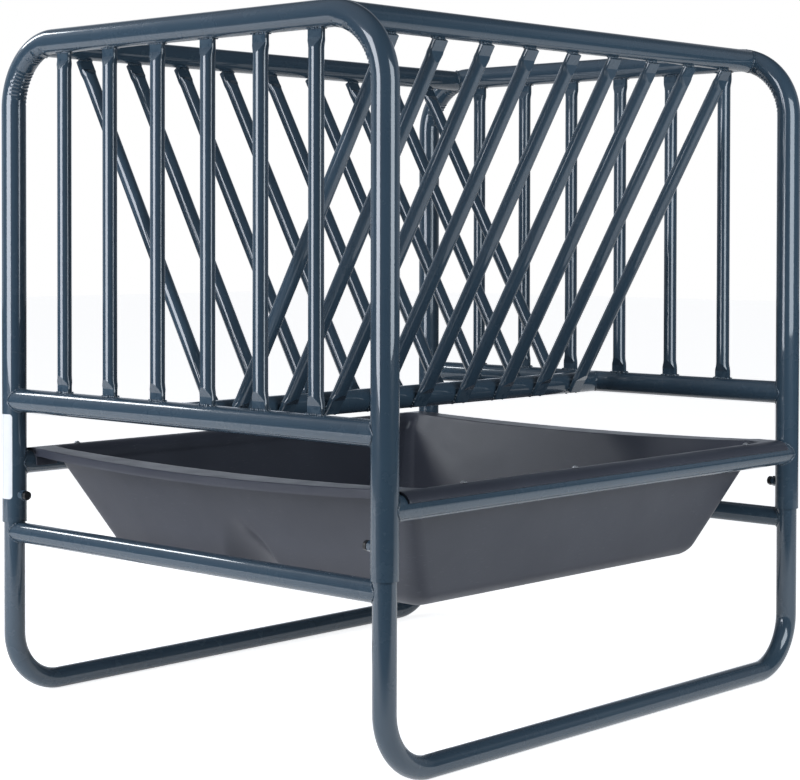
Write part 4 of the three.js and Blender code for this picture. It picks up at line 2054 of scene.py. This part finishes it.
@dataclass
class Sticker:
    """A plain pale sticker rolled round the outer side of one post."""

    finishes: Finishes
    wide: float = 0.0407
    high: float = 0.155
    middle: float = 0.4425
    bearing: float = 2.974
    corner: float = 0.006
    strips: int = 40

    def build(self) -> None:
        """Cuts the sticker flat, rounds its corners and rolls it on."""
        Bench.only()
        bpy.ops.mesh.primitive_plane_add(size=1)
        bpy.context.active_object.scale = (self.wide, self.high, 1)
        sticker = Bench.settle("post_sticker")
        with Bench.editing(sticker, whole=True):
            bpy.ops.mesh.bevel(offset=self.corner, segments=6, affect="VERTICES")
            for i in range(1, self.strips):
                bpy.ops.mesh.select_all(action="SELECT")
                cut = lerp(-self.wide / 2, self.wide / 2, i / self.strips)
                bpy.ops.mesh.bisect(plane_co=(cut, 0, 0), plane_no=(1, 0, 0))
        lift = LAYOUT.sticker_lift
        radius = LAYOUT.hoop_radius - 0.9 * lift

        def roll(at: Vector) -> Vector:
            """Lays a place of the flat sticker round the post.

            Args:
                at: the place on the flat sticker.

            Returns:
                Its place on the post.
            """
            angle = self.bearing + at.x / radius
            centre = Vector((-LAYOUT.half_x, LAYOUT.half_y, self.middle + at.y))
            return centre + Vector((math.cos(angle), math.sin(angle), 0)) * radius

        Bench.move_all(sticker, roll)
        if sticker.data.polygons[0].normal.x > 0:
            sticker.data.flip_normals()
        Bench.finish_with(sticker, "SOLIDIFY", thickness=0.8 * lift, offset=1.0)
        Bench.smooth(sticker, 50)
        self.finishes.dress(sticker, material=self.finishes.vinyl)


@dataclass(frozen=True)
class Lamp:
    """One soft box of the studio."""

    name: str
    place: tuple[float, float, float]
    target: tuple[float, float, float]
    size: Range
    watts: float
    colour: Colour

    def hang(self) -> None:
        """Puts the lamp up and aims it."""
        data = bpy.data.lights.new(self.name, "AREA")
        data.shape = "RECTANGLE"
        data.size, data.size_y = self.size
        data.energy, data.color = self.watts, self.colour
        lamp = bpy.data.objects.new(self.name, data)
        bpy.context.scene.collection.objects.link(lamp)
        aim = Vector(self.target) - Vector(self.place)
        lamp.location = self.place
        lamp.rotation_euler = aim.to_track_quat("-Z", "Y").to_euler()


LAMPS = (
    Lamp(
        name="softbox_left",
        place=(-3.965, 0.674, 1.65),
        target=(-3.14, 1.239, 1.65),
        size=(2.9, 2.6),
        watts=185,
        colour=(0.88, 0.92, 1.0),
    ),
    Lamp(
        name="softbox_right",
        place=(-0.04, -2.08, 1.25),
        target=(0.425, -1.195, 1.25),
        size=(1.3, 1.35),
        watts=31,
        colour=(0.84, 0.92, 1.0),
    ),
    Lamp(
        name="strip_back",
        place=(-1.1, 3.3, 2.75),
        target=(-0.57, 0, 0.6),
        size=(0.55, 1.1),
        watts=26,
        colour=(0.92, 0.96, 1.0),
    ),
)


@dataclass
class Studio:
    """The plain pale floor, the soft boxes and the camera."""

    eye: tuple[float, float, float] = (-2.7927, -2.5555, 0.8464)
    yaw: float = 0.7467
    pitch: float = -0.0197
    roll: float = 0.0019
    lens: float = 90.565
    shift: float = -0.14285
    floor_drop: float = 0.0004
    floor_size: float = 40
    floor_dark: Colour = (0.08, 0.08, 0.08)
    floor_pale: Colour = (0.86, 0.86, 0.86)
    paper_edge: float = -1.35
    paper_half_width: float = 3.5
    paper_fade: float = 0.2
    floor_glow: float = 0.85
    mirrored_floor: float = 0.38
    left_wall: float = 0.45
    right_wall: float = 0.30
    end_wall: float = 0.9
    ceiling: float = 0.35
    ceiling_way: tuple[float, float, float] = (-0.35, 0.35, 0.87)
    dark: float = 0.06
    ahead_fade: Range = (0.08, 0.22)
    height_fade: Range = (0.45, 0.6)
    side_fade: Range = (-0.2, 0.2)
    end_fade: Range = (0.93, 0.98)
    ceiling_fade: Range = (0.6, 0.97)
    room_colour: Colour = (0.82, 0.89, 1.0)

    @property
    def ahead(self) -> Vector:
        """The way the camera looks over the floor."""
        return Vector((math.cos(self.yaw), math.sin(self.yaw), 0))

    def build(self) -> None:
        """Sets the whole studio up."""
        self.lay_floor()
        self.light_world()
        for lamp in LAMPS:
            lamp.hang()
        self.place_camera()
        bpy.context.scene.view_settings.view_transform = "Standard"

    def lay_floor(self) -> None:
        """Lays a large pale floor that keeps the feeder's shadow.

        To the camera it is pale all over. Reflections and bounced light find it pale as far as
        the paper's front edge and sides, and dark beyond them.
        """
        Bench.only()
        bpy.ops.mesh.primitive_grid_add(
            x_subdivisions=8,
            y_subdivisions=8,
            size=self.floor_size,
            location=upright(-self.floor_drop),
        )
        floor = Bench.settle("studio_floor")
        work = Recipe("studio_floor", Roughness=0.8, Specular_IOR_Level=0.1)
        camera = work.add("ShaderNodeLightPath").outputs["Is Camera Ray"]
        reach = work.along(work.coordinates, self.ahead)
        front = (self.paper_edge - self.paper_fade, self.paper_edge + self.paper_fade)
        paper = work.remap(reach, front, (0, 1))
        aside = work.along(work.coordinates, self.ahead.cross(Z_AXIS))
        half = self.paper_half_width
        edge = ((half - self.paper_fade) ** 2, (half + self.paper_fade) ** 2)
        paper = work.times(paper, work.remap(work.times(aside, aside), edge, (1, 0)))
        seen = work.most(work.times(paper, self.mirrored_floor), camera)
        pale = work.most(paper, camera)
        work.feed(work.tint(pale, self.floor_dark, self.floor_pale), "Base Color")
        work.shader.inputs["Emission Color"].default_value = (1, 1, 1, 1)
        work.feed(work.times(seen, self.floor_glow), "Emission Strength")
        floor.data.materials.append(work.material)

    def light_world(self) -> None:
        """Makes the surroundings white to the camera, and to all else a dim room.

        The room is dark behind the camera. Reflections find a pale wall ahead, dimmer ones at
        the left and right, and a pale part of the ceiling.
        """
        world = bpy.data.worlds.new("studio")
        bpy.context.scene.world = world
        world.use_nodes = True
        work = NodeWork(world.node_tree)
        backdrop = work.tree.nodes["Background"]
        way = work.add("ShaderNodeTexCoord").outputs["Generated"]
        rays = work.add("ShaderNodeLightPath").outputs
        camera = rays["Is Camera Ray"]
        mirrored = work.most(rays["Is Glossy Ray"], rays["Is Transmission Ray"])
        forward = work.along(way, self.ahead)
        front = work.remap(forward, self.ahead_fade, (0, 1))
        low = work.remap(work.along(way, Z_AXIS), self.height_fade, (1, 0))
        leftward = work.along(way, Z_AXIS.cross(self.ahead))
        wall = work.remap(leftward, self.side_fade, (self.right_wall, self.left_wall))
        wall = work.most(wall, work.remap(forward, self.end_fade, (0, self.end_wall)))
        wall = work.times(wall, work.times(front, low))
        up = work.along(way, Vector(self.ceiling_way))
        ceiling = work.remap(up, self.ceiling_fade, (self.dark, self.ceiling))
        room = work.most(work.times(wall, mirrored), ceiling)
        work.link(work.most(room, camera), backdrop.inputs["Strength"])
        colour = work.add("ShaderNodeMix", data_type="RGBA")
        work.link(camera, colour.inputs["Factor"])
        colour.inputs["A"].default_value = (*self.room_colour, 1)
        colour.inputs["B"].default_value = (1, 1, 1, 1)
        work.link(colour.outputs["Result"], backdrop.inputs["Color"])

    def place_camera(self) -> None:
        """Stands the camera at the photograph's viewing angle."""
        ahead = self.ahead * math.cos(self.pitch) + upright(math.sin(self.pitch))
        right = self.ahead.cross(Z_AXIS)
        up = right.cross(ahead)
        right, up = (
            right * math.cos(self.roll) + up * math.sin(self.roll),
            up * math.cos(self.roll) - right * math.sin(self.roll),
        )
        data = bpy.data.cameras.new("camera")
        data.sensor_fit, data.sensor_width, data.lens = "HORIZONTAL", 36, self.lens
        data.shift_y = self.shift
        data.clip_end = 60
        camera = bpy.data.objects.new("camera", data)
        bpy.context.scene.collection.objects.link(camera)
        turn = Matrix((right, up, -ahead)).transposed().to_4x4()
        camera.matrix_world = Matrix.Translation(self.eye) @ turn
        bpy.context.scene.camera = camera


def main() -> None:
    """Builds the feeder piece by piece, then the studio round it."""
    logging.basicConfig(level=logging.INFO, format="%(name)s %(message)s")
    finishes = Finishes()
    for assembly in (Hoops, Rails, Rack, Base, SetBolts, Trough, TroughScrews, Sticker):
        assembly(finishes).build()
    Studio().build()


if __name__ == "__main__":
    main()
